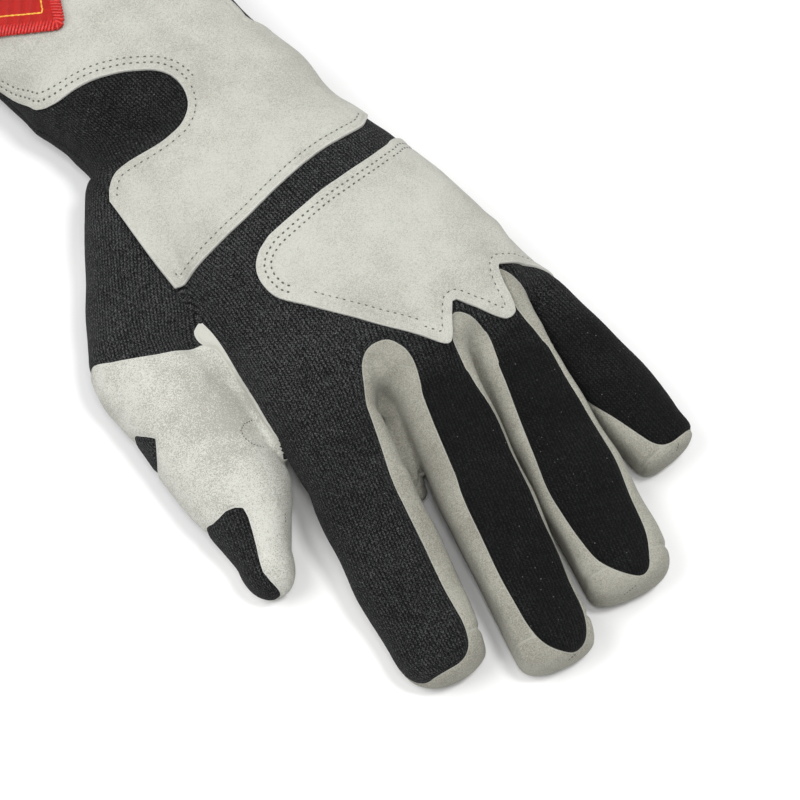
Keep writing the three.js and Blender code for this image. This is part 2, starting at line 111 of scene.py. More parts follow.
def spline(points: Sequence[tuple[float, float]], per_span: int = 8) -> Array:
    """A smooth curve through points on the plan.

    Args:
        points: The points that the curve runs through.
        per_span: Steps between two of them.

    Returns:
        The curve's points, one row each.
    """
    rows = np.array([points[0], *points, points[-1]], float)
    parts = []
    for i in range(len(points) - 1):
        a, b, c, d = rows[i:i + 4]
        f = np.linspace(0, 1, per_span, endpoint=False)[:, None]
        parts.append(0.5 * (2 * b + (c - a) * f + (2 * a - 5 * b + 4 * c - d) * f ** 2
                            + (3 * b - a - 3 * c + d) * f ** 3))
    return np.vstack([*parts, rows[-1:]])


def inside_distance(outline: Array, points: Array) -> Array:
    """Distance in plan from an outline.

    Args:
        outline: Its corners in order, closed from the last to the first.
        points: Places in space, of which only x and y count.

    Returns:
        The distance of each place, positive inside the outline.
    """
    x, y = points[:, 0], points[:, 1]
    nearest = np.full(len(points), np.inf)
    inside = np.zeros(len(points), bool)
    for (ax, ay), (bx, by) in zip(outline, np.roll(outline, -1, 0)):
        dx, dy = bx - ax, by - ay
        share = np.clip(((x - ax) * dx + (y - ay) * dy) / max(dx * dx + dy * dy, 1e-9), 0, 1)
        nearest = np.minimum(nearest, (x - ax - share * dx) ** 2 + (y - ay - share * dy) ** 2)
        if abs(dy) > 1e-9:
            inside ^= ((ay > y) != (by > y)) & (x < ax + (y - ay) / dy * dx)
    return np.where(inside, 1, -1) * np.sqrt(nearest)


def eased(at: Array, where: Array, values: Array, reach: float = 4.0) -> Array:
    """Values of a table, with the corners between its rows rounded off.

    Args:
        at: Places along the table.
        where: The places that its rows hold for, rising.
        values: Its values.
        reach: How far to either side of a corner the rounding goes.

    Returns:
        The values at the places.
    """
    fine = np.arange(where[0] - reach, where[-1] + reach + 1, 1.0)
    steps = np.linspace(-reach, reach, 9)
    smooth = np.mean([np.interp(fine + step, where, values) for step in steps], axis=0)
    return np.interp(at, fine, smooth)


@dataclass(frozen=True)
class Place:
    """Where points lie in a tube's own terms."""

    t: Array             # station number along the tube
    side: Array          # off the axis towards the little finger
    up: Array            # off the axis towards the back of the hand
    beyond: Array        # past the last station, or before the first if negative
    half_width: Array
    half_height: Array

    @property
    def radius(self) -> Array:
        """Distance from the axis."""
        return np.hypot(self.side, self.up)

    @property
    def angle(self) -> Array:
        """Degrees from the tube's top, positive towards the little finger."""
        return np.degrees(np.arctan2(self.side, self.up))


@dataclass(frozen=True)
class Tube:
    """A tube of cloth through a row of sections, with rounded ends."""

    rows: tuple[Station, ...]
    power: float = 2.3
    root_cap: float = 8.0
    tip_cap: float = 15.0
    cap_power: float = 2.9

    def curve(self, t: Array) -> tuple[Array, Array]:
        """Sizes and their slopes at places along the tube.

        Args:
            t: Station numbers.

        Returns:
            The five values of a station, and their change per station.
        """
        rows = np.array(self.rows)
        padded = np.vstack([2 * rows[0] - rows[1], rows, 2 * rows[-1] - rows[-2]])
        i = np.clip(np.floor(t).astype(int), 0, len(rows) - 2)
        f = (np.clip(t, 0, len(rows) - 1) - i)[:, None]
        a, b, c, d = (padded[i + k] for k in range(4))
        first, second, third = c - a, 2 * a - 5 * b + 4 * c - d, 3 * b - a - 3 * c + d
        value = 0.5 * (2 * b + first * f + second * f ** 2 + third * f ** 3)
        slope = 0.5 * (first + 2 * second * f + 3 * third * f ** 2)
        return value, slope

    def locate(self, points: Array) -> Place:
        """Where points lie along and round the tube.

        Args:
            points: Places in space.

        Returns:
            Their places in the tube's terms.
        """
        last = len(self.rows) - 1
        heights = np.array([row.y for row in self.rows])
        t = np.interp(-points[:, 1], -heights, np.arange(last + 1.0))
        for _ in range(3):
            value, slope = self.curve(t)
            off = ((points - value[:, :3]) * slope[:, :3]).sum(1)
            t = np.clip(t + off / (slope[:, :3] ** 2).sum(1), 0, last)
        value, slope = self.curve(t)
        along = slope[:, :3] / np.linalg.norm(slope[:, :3], axis=1, keepdims=True)
        side = np.stack([-along[:, 1], along[:, 0], np.zeros(len(t))], 1)
        side /= np.linalg.norm(side, axis=1, keepdims=True)
        up = np.cross(along, side)
        up *= np.sign(up[:, 2:3])
        off = points - value[:, :3]
        beyond = (off * along).sum(1)
        beyond = np.where(t <= 0, np.minimum(beyond, 0), np.where(t >= last, np.maximum(beyond, 0), 0))
        return Place(t, (off * side).sum(1), (off * up).sum(1), beyond, value[:, 3], value[:, 4])

    def distance(self, points: Array) -> Array:
        """Distance from the tube's skin, below zero inside it.

        Args:
            points: Places in space.

        Returns:
            The distances, and FAR for what lies well outside the tube's box.
        """
        rows = np.array(self.rows)
        reach = rows[:, 3].max() + max(self.tip_cap, CAST_ON) + FAR
        low, high = rows[:, :3].min(0) - reach, rows[:, :3].max(0) + reach
        near = ((points > low) & (points < high)).all(1)
        result = np.full(len(points), FAR)
        place = self.locate(points[near])
        n = self.power
        cap = np.where(place.beyond < 0, self.root_cap or 1e6, self.tip_cap)
        parts = [(place.side, place.half_width, n), (place.up, place.half_height, n),
                 (place.beyond, cap, self.cap_power)]
        total = sum((np.abs(off) / size) ** power for off, size, power in parts)
        rho = total ** (1 / n) + 1e-9
        slope = np.sqrt(sum((power / n * (np.abs(off) / size) ** (power - 1) / size) ** 2
                            for off, size, power in parts))
        result[near] = (rho - 1) * rho ** (n - 1) / (slope + 1e-9)
        return result

    def lengths(self) -> Array:
        """Distance along the axis at which each station lies."""
        steps = np.diff(np.array(self.rows)[:, :3], axis=0)
        return np.concatenate([[0.0], np.cumsum(np.linalg.norm(steps, axis=1))])

    def cloth(self, place: Place) -> tuple[Array, Array]:
        """How far round and along the cloth places lie, measured on it.

        Args:
            place: Places in the tube's terms.

        Returns:
            Millimetres round the section from its top, and along the axis.
        """
        turns = np.linspace(0, math.pi, 49)
        table = []
        for row in self.rows:
            across = np.sin(turns) ** (2 / self.power) * row.half_width
            up = np.sign(np.cos(turns)) * np.abs(np.cos(turns)) ** (2 / self.power) * row.half_height
            steps = np.hypot(np.diff(across), np.diff(up))
            table.append(np.concatenate([[0.0], np.cumsum(steps)]))
        table = np.array(table)
        half = self.power / 2
        turn = np.arctan2(np.abs(place.side / place.half_width) ** half,
                          np.sign(place.up) * np.abs(place.up / place.half_height) ** half)
        i = np.clip(np.floor(place.t).astype(int), 0, len(self.rows) - 2)
        f = place.t - i
        column = np.clip(turn / turns[1], 0, 47.999)
        j = np.floor(column).astype(int)
        g = column - j
        low = table[i, j] * (1 - g) + table[i, j + 1] * g
        high = table[i + 1, j] * (1 - g) + table[i + 1, j + 1] * g
        across = np.sign(place.side) * (low * (1 - f) + high * f)
        along = np.interp(place.t, np.arange(len(self.rows)), self.lengths()) + place.beyond
        return across, along


@dataclass(frozen=True)
class Lane:
    """An upright plane midway between two fingers, drawn on the plan."""

    line: tuple[tuple[float, float], ...]
    gaps: tuple[tuple[float, float], ...] = ((0, 0),)
    rounding: float = 7.0                # reach of the rounding where the line bends

    def offset(self, points: Array) -> Array:
        """Distance from the plane, positive towards the little finger."""
        line = np.array(self.line)
        return points[:, 0] - eased(-points[:, 1], -line[:, 1], line[:, 0], self.rounding)

    def half_gap(self, points: Array, least: float) -> Array:
        """Half the space between the two fingers, which widens towards their tips."""
        gaps = np.array(self.gaps, float)
        return np.maximum(eased(-points[:, 1], -gaps[:, 0], gaps[:, 1]), least) / 2


@dataclass(frozen=True)
class Finger:
    """A finger's tube and the edges of the knit on its back.

    The edges are degrees round the finger from its top, against how far along -Y they hold.
    """

    tube: Tube
    thumb_edge: tuple[tuple[float, float], ...]
    little_edge: tuple[tuple[float, float], ...]
    knit_end: float                      # how far the knit runs into the rounded tip
    thumb_zone: tuple[float, float] = (1.0, -3.0)      # where the hand's seam turns into the finger's
    little_zone: tuple[float, float] = (1.0, -3.0)
    outer_side: int = 0                  # -1 or 1 if that side has no neighbour
    end_slant: float = 0.0               # how much further the knit runs per millimetre to the little side
    rounding: float = 3.5                # reach of the rounding where an edge bends

    def side_edge(self, place: Place, points: Array, side: int) -> Array:
        """Distance from the knit's edge on one side, positive on the knit.

        Args:
            place: The points in the finger's terms.
            points: The points.
            side: -1 for the edge towards the thumb, 1 for the one towards the little finger.

        Returns:
            The distances, measured round the finger.
        """
        edge, zone = ((self.thumb_edge, self.thumb_zone), (self.little_edge, self.little_zone))[side > 0]
        table = np.array(edge)
        limit = eased(-points[:, 1], -table[:, 0], table[:, 1], self.rounding)
        own = np.radians(limit - side * place.angle) * place.radius
        share = smooth_step(zone[0], zone[1], points[:, 1])
        return own * share + (points[:, 2] - SIDE_SEAM_Z + EDGE_BLEND / 4) * (1 - share)


@dataclass(frozen=True)
class Fold:
    """A soft fold along a line on the plan; a negative depth is a ridge."""

    x0: float
    y0: float
    x1: float
    y1: float
    depth: float
    width: float

    def at(self, points: Array) -> Array:
        """Depth of the fold.

        Args:
            points: Places in space, of which only x and y count.

        Returns:
            The depth at each of them.
        """
        dx, dy = self.x1 - self.x0, self.y1 - self.y0
        x, y = points[:, 0] - self.x0, points[:, 1] - self.y0
        share = np.clip((x * dx + y * dy) / (dx * dx + dy * dy), 0, 1)
        away = np.hypot(x - share * dx, y - share * dy) / self.width
        return self.depth * np.exp(-away * away)


def stations(*rows: tuple[float, float, float, float, float]) -> tuple[Station, ...]:
    """Rows of numbers as stations."""
    return tuple(Station(*row) for row in rows)


@dataclass
class GloveForm:
    """The outer shape of the whole glove."""

    hand: Tube = Tube(stations(
        (-46, 181, 17, 44, 17.4), (-39, 155.5, 17, 38.6, 17.4), (-31.9, 131.5, 17, 34.6, 17.8),
        (-24.8, 107, 17.3, 33.2, 18.1), (-18, 87.5, 17.5, 34.1, 18.3), (-14, 70, 18, 34.2, 18.8),
        (-7.6, 52, 18.5, 37.7, 19.3), (-2.8, 33, 18.5, 40.2, 19.3), (1, 14, 18.6, 42.5, 18.4),
        (2.8, 2, 18.5, 42.3, 15)), power=2.4, root_cap=0.0, tip_cap=8.0, cap_power=2.4)
    thumb: Tube = Tube(stations(
        (-37.5, 90, 16, 14.8, 13.5), (-44.5, 74, 15.5, 15.6, 14.5), (-50, 60, 14.8, 15.8, 14.6),
        (-55.5, 44, 13.6, 16.8, 14), (-58.6, 30, 12.6, 17.7, 13.4), (-56.8, 16, 12.2, 15.6, 12.8),
        (-54.4, 2, 11.8, 15.7, 12.4), (-52.6, -12, 11, 14.1, 11.6), (-53, -22, 9.8, 10.9, 10.4),
        (-53.7, -31, 8.4, 7.6, 8.8)), power=2.2, tip_cap=11.0, cap_power=2.1)
    index: Finger = Finger(
        Tube(stations(
            (-24.2, 24, 20.8, 14.3, 11.7), (-23.2, 5, 20.8, 14.6, 11.7), (-22.6, -10, 19.8, 14.6, 11.2),
            (-22.4, -30, 17.3, 14.6, 10.7), (-22.6, -46, 13.6, 13.8, 10.4), (-22.2, -58, 11.1, 13.5, 10.4),
            (-21.4, -68, 9.6, 13.1, 10.4)), tip_cap=15.0),
        thumb_edge=((0, 104), (-60, 104), (-80, 96)),
        little_edge=((2, 47), (-5, 45), (-11, 42), (-32, 31.5), (-48, 36.5), (-63, 34.5), (-73, 35.5),
                     (-78, 30)),
        knit_end=12.5, outer_side=-1)
    middle: Finger = Finger(
        Tube(stations(
            (8, 20, 20.3, 12.6, 11.2), (7.9, 0, 20.3, 12.6, 11.2), (6.9, -27, 17.3, 12.8, 10.7),
            (6, -47, 14.1, 13, 10.4), (6, -65, 11.1, 12.8, 10.4), (6.2, -76, 9.6, 12.5, 10.4)),
            power=2.6, tip_cap=15.0, cap_power=4.2),
        thumb_edge=((2, 29), (-4, 26), (-8, 30.5), (-12, 34), (-30, 37), (-50, 37.5), (-68, 36.5),
                    (-80, 32.5),
                    (-86, 25)),
        little_edge=((-1, 28), (-4, 33), (-10, 36.5), (-14, 39.7), (-18, 43.8), (-23, 50), (-29, 56),
                     (-49, 56.5),
                     (-67, 59.5), (-80, 50.5), (-86, 44)),
        knit_end=13.2, end_slant=0.5)
    ring: Finger = Finger(
        Tube(stations(
            (31, 20, 18.3, 12.5, 10.7), (31, 1, 17.8, 12.5, 10.7), (30.8, -23, 15.3, 12.5, 10.5),
            (31.2, -40, 12.8, 12.7, 10.4), (31.6, -57, 10.6, 13, 10.4), (31.8, -67, 9.6, 13.2, 10.4)),
            power=2.6, tip_cap=13.9, cap_power=4.4),
        thumb_edge=((0, 33.5), (-5, 36), (-10, 39), (-26, 43), (-32, 47.5), (-38, 52), (-48, 53.5),
                    (-60, 49.5),
                    (-71, 38.5), (-77, 26)),
        little_edge=((0, 19), (-2, 25), (-6, 30), (-11, 36), (-17, 40), (-24, 43), (-30, 48.5), (-36, 52),
                     (-50, 51), (-60, 46.5), (-71, 40.5), (-77, 29)),
        knit_end=11.0, end_slant=0.6)
    little: Finger = Finger(
        Tube(stations(
            (36, 14, 14.8, 8.8, 9.7), (41.8, 3, 14.3, 9.6, 10), (47.2, -13, 12.3, 10.5, 9.5),
            (51.1, -24, 10.8, 10.5, 9.4), (54.3, -35, 9.4, 10.1, 9.2), (56, -41, 8.6, 9.5, 9)),
            power=3.0, tip_cap=9.0, cap_power=4.6),
        thumb_edge=((2, 80), (-20, 84), (-28, 62), (-34.5, 45), (-40, 36.5), (-45, 28.5), (-50, 18)),
        little_edge=((10, 100), (-40, 98), (-50, 80)),
        knit_end=6.5, little_zone=(18.0, 6.0), outer_side=1)
    lanes: tuple[Lane, ...] = (
        Lane(((-41, 40), (-41, -10), (-39, -30), (-38, -100))),
        Lane(((-9.6, 40), (-9.8, -4), (-9.8, -28), (-7.8, -46), (-7.4, -60), (-7.6, -100)),
             gaps=((-20, 0), (-28, 1.6), (-38, 3.4), (-50, 4.8), (-62, 5.4), (-100, 6.2))),
        Lane(((18, 40), (17.8, 0), (17.6, -46), (18.4, -62), (18.8, -100)),
             gaps=((-44, 0), (-54, 1.6), (-66, 3.4), (-100, 4.4))),
        Lane(((39.6, 40), (39.6, -14), (41, -22), (42.6, -30), (43.2, -38), (44.6, -46), (47, -100))),
        Lane(((90, 40), (90, -100))),
    )
    webs: tuple[Tube, ...] = (
        Tube(stations((-7, 8, 12.5, 4.4, 8.5), (-8, -6, 12.5, 4.4, 9), (-8.6, -15, 10.5, 4.2, 8.2),
                      (-8.8, -22, 9, 3.8, 7.6), (-8.8, -28, 5.6, 3.4, 5)), root_cap=5.0, tip_cap=3.5),
        Tube(stations((20.4, 8, 15, 3.6, 8.4), (20.2, -6, 14, 3.4, 7.6), (20.2, -24, 10, 3.2, 6),
                      (20.4, -42, 5, 3, 4)),
             root_cap=5.0, tip_cap=5.0),
        Tube(stations((39.6, 10, 13.4, 4.2, 7.4), (39.6, -8, 11, 3.8, 6),
                      (40.2, -18, 7, 3.4, 5)), root_cap=5.0,
             tip_cap=5.0),
    )
    folds: tuple[Fold, ...] = (
        Fold(6, 132, 36, 60, 0.9, 9.0), Fold(-6.9, 0.4, -8.8, -10, 2.6, 2.3),
        Fold(-8.8, -10, -9.6, -26, 1.6, 2.2),
        Fold(-56, 97, -34, 88, 2.4, 5.0), Fold(-60, 106, -56, 103, 1.8, 3.0),
        Fold(-58, 112, -44, 104, -1.0, 4.0),
        Fold(-54, 90, -47, 84, 1.1, 2.4), Fold(-66, 36, -53, 33, 0.8, 2.6), Fold(-52, 34, -47, 24, 0.9, 2.4),
        Fold(-73, 22, -62, 17, 0.6, 2.8), Fold(-60, 2, -51, -1, 0.5, 2.5), Fold(-31, 118, -12, 106, 0.7, 6.0),
        Fold(-6, 92, 8, 84, 0.6, 5.0), Fold(-36, -22, -27, -27, 0.5, 3.0), Fold(-1, -36, 9, -39, 0.45, 3.0),
        Fold(26, -30, 37, -33, 0.45, 3.0),
    )
    root_blend: float = 4.0
    thumb_blend: float = 2.5
    crotch_blend: float = 9.0            # wider blend where the thumb leaves the hand
    crotch_y: float = 26.0
    crotch_reach: float = 11.0
    lane_blend: float = 1.6
    web_blend: float = 2.4
    fold_zone: tuple[float, float] = (6.0, 14.0)       # heights between which the folds set in
    wave_count: int = 14
    wave_sizes: tuple[float, float] = (11.0, 34.0)
    floor_blend: float = 1.2
    ripple_size: float = 0.16
    ripple_seed: int = 7

    def __post_init__(self) -> None:
        """Sets up the fingers in order and the cloth's gentle unevenness."""
        self.fingers = (self.index, self.middle, self.ring, self.little)
        random = np.random.default_rng(self.ripple_seed)
        directions = random.normal(size=(self.wave_count, 3))
        directions /= np.linalg.norm(directions, axis=1, keepdims=True)
        self.waves = directions * (2 * math.pi / random.uniform(*self.wave_sizes, (self.wave_count, 1)))
        self.phases = random.uniform(0, 2 * math.pi, self.wave_count)

    def lane_number(self, points: Array) -> Array:
        """Which finger's lane each point lies in, counted from the index finger."""
        return sum((lane.offset(points) > 0).astype(int) for lane in self.lanes[1:4])

    def distance(self, points: Array, gap: float = FINGER_GAP) -> Array:
        """Distance from the glove's outer surface, below zero inside.

        Args:
            points: Places in space.
            gap: Space kept between two fingers that touch.

        Returns:
            The distances.
        """
        crotch = np.exp(-((points[:, 1] - self.crotch_y) / self.crotch_reach) ** 2)
        blend = self.thumb_blend + self.crotch_blend * crotch
        body = smooth_min(self.hand.distance(points), self.thumb.distance(points), blend)
        fingers = np.full(len(points), FAR)
        for left, right, finger in zip(self.lanes, self.lanes[1:], self.fingers):
            own = finger.tube.distance(points)
            walls = np.maximum(left.half_gap(points, gap) - left.offset(points),
                               right.offset(points) + right.half_gap(points, gap))
            fingers = np.minimum(fingers, smooth_max(own, walls, self.lane_blend))
        for web in self.webs:
            fingers = smooth_min(fingers, web.distance(points), self.web_blend)
        whole = smooth_min(body, fingers, self.root_blend)
        upper = smooth_step(*self.fold_zone, points[:, 2])
        whole = whole + upper * sum(fold.at(points) for fold in self.folds)
        ripple = sum(np.sin(points @ wave + phase) for wave, phase in zip(self.waves, self.phases))
        whole = whole + self.ripple_size * ripple * upper / 2
        return smooth_max(whole, -points[:, 2], self.floor_blend)

    def gradient(self, points: Array) -> Array:
        """Slope of the distance.

        Args:
            points: Places in space.

        Returns:
            The slope at each of them, one row each.
        """
        step = 0.2
        parts = []
        for axis in np.eye(3) * step:
            parts.append((self.distance(points + axis) - self.distance(points - axis)) / (2 * step))
        return np.stack(parts, 1)


@dataclass
class Skin:
    """A triangle mesh of a surface whose points carry numbers."""

    points: Array
    normals: Array
    faces: Array
    marks: dict[str, Array] = field(default_factory=dict)

    snap = 0.04      # points nearer to a cut than this are taken as on it

    def taking(self, faces: Array) -> "Skin":
        """The skin of some faces alone.

        Args:
            faces: The faces.

        Returns:
            Their skin, with its points numbered afresh.
        """
        used, fresh = np.unique(faces, return_inverse=True)
        marks = {name: values[used] for name, values in self.marks.items()}
        return Skin(self.points[used], self.normals[used], fresh.reshape(-1, 3), marks)

    def lined(self, values: Array) -> tuple["Skin", Array]:
        """Adds points where a value is zero, so that the faces' edges run along that line.

        Args:
            values: A number at each point.

        Returns:
            The new skin, and which of its faces lie on the positive side.
        """
        values = np.where(np.abs(values) < self.snap, 0.0, values)
        signs = np.sign(values).astype(int)[self.faces]
        crossed = (signs.max(1) > 0) & (signs.min(1) < 0)
        whole, whole_side = self.faces[~crossed], signs[~crossed].sum(1) >= 0
        split, split_signs = self.faces[crossed], signs[crossed]
        if not len(split):
            return self, whole_side
        total = split_signs.sum(1)
        lone = np.argmax(split_signs == -total[:, None], axis=1)
        rows = np.arange(len(split))
        a, b, c = (split[rows, (lone + k) % 3] for k in range(3))
        b_sign = split_signs[rows, (lone + 1) % 3]
        pair, cross = total != 0, total == 0
        edges = np.vstack([np.stack([a, b], 1)[pair], np.stack([a, c], 1)[pair], np.stack([b, c], 1)[cross]])
        edges.sort(axis=1)
        keys = edges[:, 0] * len(self.points) + edges[:, 1]
        unique, fresh = np.unique(keys, return_inverse=True)
        low, high = unique // len(self.points), unique % len(self.points)
        share = (values[low] / (values[low] - values[high]))[:, None]
        fresh = fresh + len(self.points)
        count = int(pair.sum())
        p, q, r = fresh[:count], fresh[count:2 * count], fresh[2 * count:]
        a1, b1, c1 = a[pair], b[pair], c[pair]
        a2, b2, c2 = a[cross], b[cross], c[cross]
        faces = [whole, np.stack([a1, p, q], 1), np.stack([p, b1, c1], 1), np.stack([p, c1, q], 1),
                 np.stack([a2, b2, r], 1), np.stack([a2, r, c2], 1)]
        lone_up = total[pair] < 0
        b_up = b_sign[cross] > 0
        sides = [whole_side, lone_up, ~lone_up, ~lone_up, b_up, ~b_up]

        def extended(old: Array) -> Array:
            """An array with the values of the new points added."""
            part = share if old.ndim > 1 else share[:, 0]
            return np.concatenate([old, old[low] * (1 - part) + old[high] * part])

        marks = {name: extended(old) for name, old in self.marks.items()}
        skin = Skin(extended(self.points), extended(self.normals), np.vstack(faces), marks)
        return skin, np.concatenate(sides)

    def cut(self, name: str, level: float = 0.0) -> tuple["Skin", "Skin"]:
        """Cuts the skin in two where a mark has some value.

        Args:
            name: The mark.
            level: The value.

        Returns:
            The skin where the mark is larger, and the skin where it is smaller.
        """
        skin, above = self.lined(self.marks[name] - level)
        return skin.taking(skin.faces[above]), skin.taking(skin.faces[~above])

    def with_lines(self, name: str, levels: Iterable[float]) -> "Skin":
        """The same skin with edges along the lines where a mark has some values.

        Args:
            name: The mark.
            levels: The values.

        Returns:
            The finer skin.
        """
        skin = self
        for level in levels:
            skin, _ = skin.lined(skin.marks[name] - level)
        return skin

    def border(self) -> Array:
        """The skin's border.

        Returns:
            The directed edges that belong to one face only.
        """
        edges = self.faces[:, [0, 1, 1, 2, 2, 0]].reshape(-1, 2)
        keys = np.sort(edges, axis=1) @ np.array([len(self.points), 1])
        _, where, counts = np.unique(keys, return_index=True, return_counts=True)
        return edges[where[counts == 1]]

    def measure_edge(self, reach: float = 9.0) -> None:
        """Marks how far each point is from the border.

        Args:
            reach: Distance beyond which the measure stops.
        """
        edges = self.border()
        tree = KDTree(len(edges) * 2)
        for number, (i, j) in enumerate(edges.tolist()):
            tree.insert(self.points[i], 2 * number)
            tree.insert((self.points[i] + self.points[j]) / 2, 2 * number + 1)
        tree.balance()
        distance = np.array([min(tree.find(point)[2], reach) for point in self.points])
        distance[edges.ravel()] = 0.0
        self.marks["edge"] = distance

    def part_labels(self) -> Array:
        """A number for each face that is the same all over a separate part of the skin.

        Returns:
            The numbers.
        """
        label = np.arange(len(self.points))
        while True:
            low = label[self.faces].min(1)
            fresh = label.copy()
            for k in range(3):
                np.minimum.at(fresh, self.faces[:, k], low)
            fresh = fresh[fresh]
            if (fresh == label).all():
                return label[self.faces[:, 0]]
            label = fresh

    def without_crumbs(self, least: int) -> "Skin":
        """The skin without the separate parts that have fewer faces than given.

        Args:
            least: The number of faces.

        Returns:
            The skin of the larger parts.
        """
        _, part, counts = np.unique(self.part_labels(), return_inverse=True, return_counts=True)
        return self.taking(self.faces[counts[part] >= least])

    def largest_part(self) -> "Skin":
        """The largest of the skin's separate parts.

        Returns:
            Its skin.
        """
        labels = self.part_labels()
        names, counts = np.unique(labels, return_counts=True)
        return self.taking(self.faces[labels == names[np.argmax(counts)]])

    def line_at(self, name: str, level: float) -> list[tuple[Array, Array]]:
        """The lines on the skin where a mark has some value.

        Args:
            name: The mark.
            level: The value.

        Returns:
            For each line its points in order and the normals there.
        """
        values = self.marks[name] - level
        values = np.where(values == 0, 1e-6, values)
        corners = values[self.faces]
        crossed = self.faces[(corners.max(1) > 0) & (corners.min(1) < 0)]
        neighbours: dict[tuple[int, int], list[tuple[int, int]]] = {}
        for face in crossed.tolist():
            ends = []
            for i, j in ((0, 1), (1, 2), (2, 0)):
                if values[face[i]] * values[face[j]] < 0:
                    ends.append((min(face[i], face[j]), max(face[i], face[j])))
            neighbours.setdefault(ends[0], []).append(ends[1])
            neighbours.setdefault(ends[1], []).append(ends[0])
        open_ends = [key for key, near in neighbours.items() if len(near) == 1]
        left = set(neighbours)
        lines = []
        for start in [*open_ends, *neighbours]:
            if start not in left:
                continue
            chain = [start]
            left.discard(start)
            while True:
                onward = [key for key in neighbours[chain[-1]] if key in left]
                if not onward:
                    break
                chain.append(onward[0])
                left.discard(onward[0])
            closed = len(chain) > 2 and start in neighbours[chain[-1]]
            if closed:
                chain.append(start)
            low, high = np.array(chain).T
            share = (values[low] / (values[low] - values[high]))[:, None]
            lines.append((self.points[low] * (1 - share) + self.points[high] * share,
                          self.normals[low] * (1 - share) + self.normals[high] * share))
        return lines


def surface_net(form: GloveForm, low: Array, high: Array) -> Skin:
    """Reads the glove's surface off a grid and draws it tight.

    Args:
        form: The shape.
        low: Lowest corner of the grid.
        high: Highest corner of the grid.

    Returns:
        The closed surface, with its outward normals.
    """
    axes = [np.arange(low[k], high[k] + CELL, CELL) for k in range(3)]
    shape = tuple(len(axis) for axis in axes)
    grid = np.stack(np.meshgrid(*axes, indexing="ij"), -1).reshape(-1, 3)
    parts = [form.distance(part, GRID_GAP) for part in np.array_split(grid, GRID_PARTS)]
    values = np.concatenate(parts).reshape(shape)
    cells = tuple(n - 1 for n in shape)

    def corner(dx: int, dy: int, dz: int) -> Array:
        """Values at one corner of every cell."""
        return values[dx:dx + cells[0], dy:dy + cells[1], dz:dz + cells[2]]

    offsets = [(i, j, k) for i in (0, 1) for j in (0, 1) for k in (0, 1)]
    inside = sum((corner(*offset) < 0).astype(int) for offset in offsets)
    mixed = (inside > 0) & (inside < 8)
    number = np.full(cells, -1)
    number[mixed] = np.arange(int(mixed.sum()))
    base = np.argwhere(mixed).astype(float)
    total, count = np.zeros_like(base), np.zeros(len(base))
    for a in offsets:
        for axis in range(3):
            if a[axis]:
                continue
            b = tuple(1 if k == axis else a[k] for k in range(3))
            va, vb = corner(*a)[mixed], corner(*b)[mixed]
            crossing = (va < 0) != (vb < 0)
            share = np.where(crossing, va / np.where(va == vb, 1, va - vb), 0)
            spot = np.array(a, float) + share[:, None] * (np.array(b, float) - np.array(a, float))
            total += np.where(crossing[:, None], spot, 0)
            count += crossing
    points = np.array(low) + (base + total / count[:, None]) * CELL
    faces = []
    for axis in range(3):
        one, two = (axis + 1) % 3, (axis + 2) % 3
        here = [slice(1, -1)] * 3
        here[axis] = slice(0, -1)
        onward = list(here)
        onward[axis] = slice(1, None)
        start, end = values[tuple(here)], values[tuple(onward)]
        for flip in (False, True):
            changes = (start < 0) & (end >= 0) if not flip else (start >= 0) & (end < 0)
            spots = np.argwhere(changes)
            spots[:, one] += 1
            spots[:, two] += 1
            quads = []
            for da, db in ((-1, -1), (0, -1), (0, 0), (-1, 0)):
                cell = spots.copy()
                cell[:, one] += da
                cell[:, two] += db
                quads.append(number[tuple(cell.T)])
            quad = np.stack(quads[::-1] if flip else quads, 1)
            faces.append(quad)
    quads = np.vstack(faces)
    points, normals = drawn_tight(form, points, quads)
    first = np.linalg.norm(points[quads[:, 0]] - points[quads[:, 2]], axis=1)
    second = np.linalg.norm(points[quads[:, 1]] - points[quads[:, 3]], axis=1)
    short = first <= second
    triangles = np.vstack([quads[short][:, [0, 1, 2]], quads[short][:, [0, 2, 3]],
                           quads[~short][:, [0, 1, 3]], quads[~short][:, [1, 2, 3]]])
    return Skin(points, normals, triangles)


def drawn_tight(form: GloveForm, points: Array, quads: Array) -> tuple[Array, Array]:
    """Moves the grid's points onto the surface and spaces them evenly.

    Args:
        form: The shape.
        points: Points near the surface.
        quads: The faces between them.

    Returns:
        The points on the surface, and the outward normals there.
    """
    edges = np.vstack([quads[:, [k, (k + 1) % 4]] for k in range(4)])
    edges = np.vstack([edges, edges[:, ::-1]])
    degree = np.bincount(edges[:, 0], minlength=len(points))[:, None]

    def pulled(spots: Array) -> tuple[Array, Array]:
        """Points moved along the slope to the surface.

        Args:
            spots: The points.

        Returns:
            The moved points, and the slope where they were.
        """
        slope = form.gradient(spots)
        size = np.maximum((slope ** 2).sum(1, keepdims=True), 0.2)
        step = np.clip(form.distance(spots)[:, None], -LONGEST_PULL, LONGEST_PULL)
        return spots - slope * step / size, slope

    for _ in range(4):
        points, slope = pulled(points)
        normal = slope / np.linalg.norm(slope, axis=1, keepdims=True)
        total = np.zeros_like(points)
        for k in range(3):
            total[:, k] = np.bincount(edges[:, 0], weights=points[edges[:, 1], k], minlength=len(points))
        off = total / degree - points
        off -= normal * (off * normal).sum(1, keepdims=True)
        points = points + EVENING * off
    for _ in range(2):
        points, slope = pulled(points)
    return points, slope / np.linalg.norm(slope, axis=1, keepdims=True)


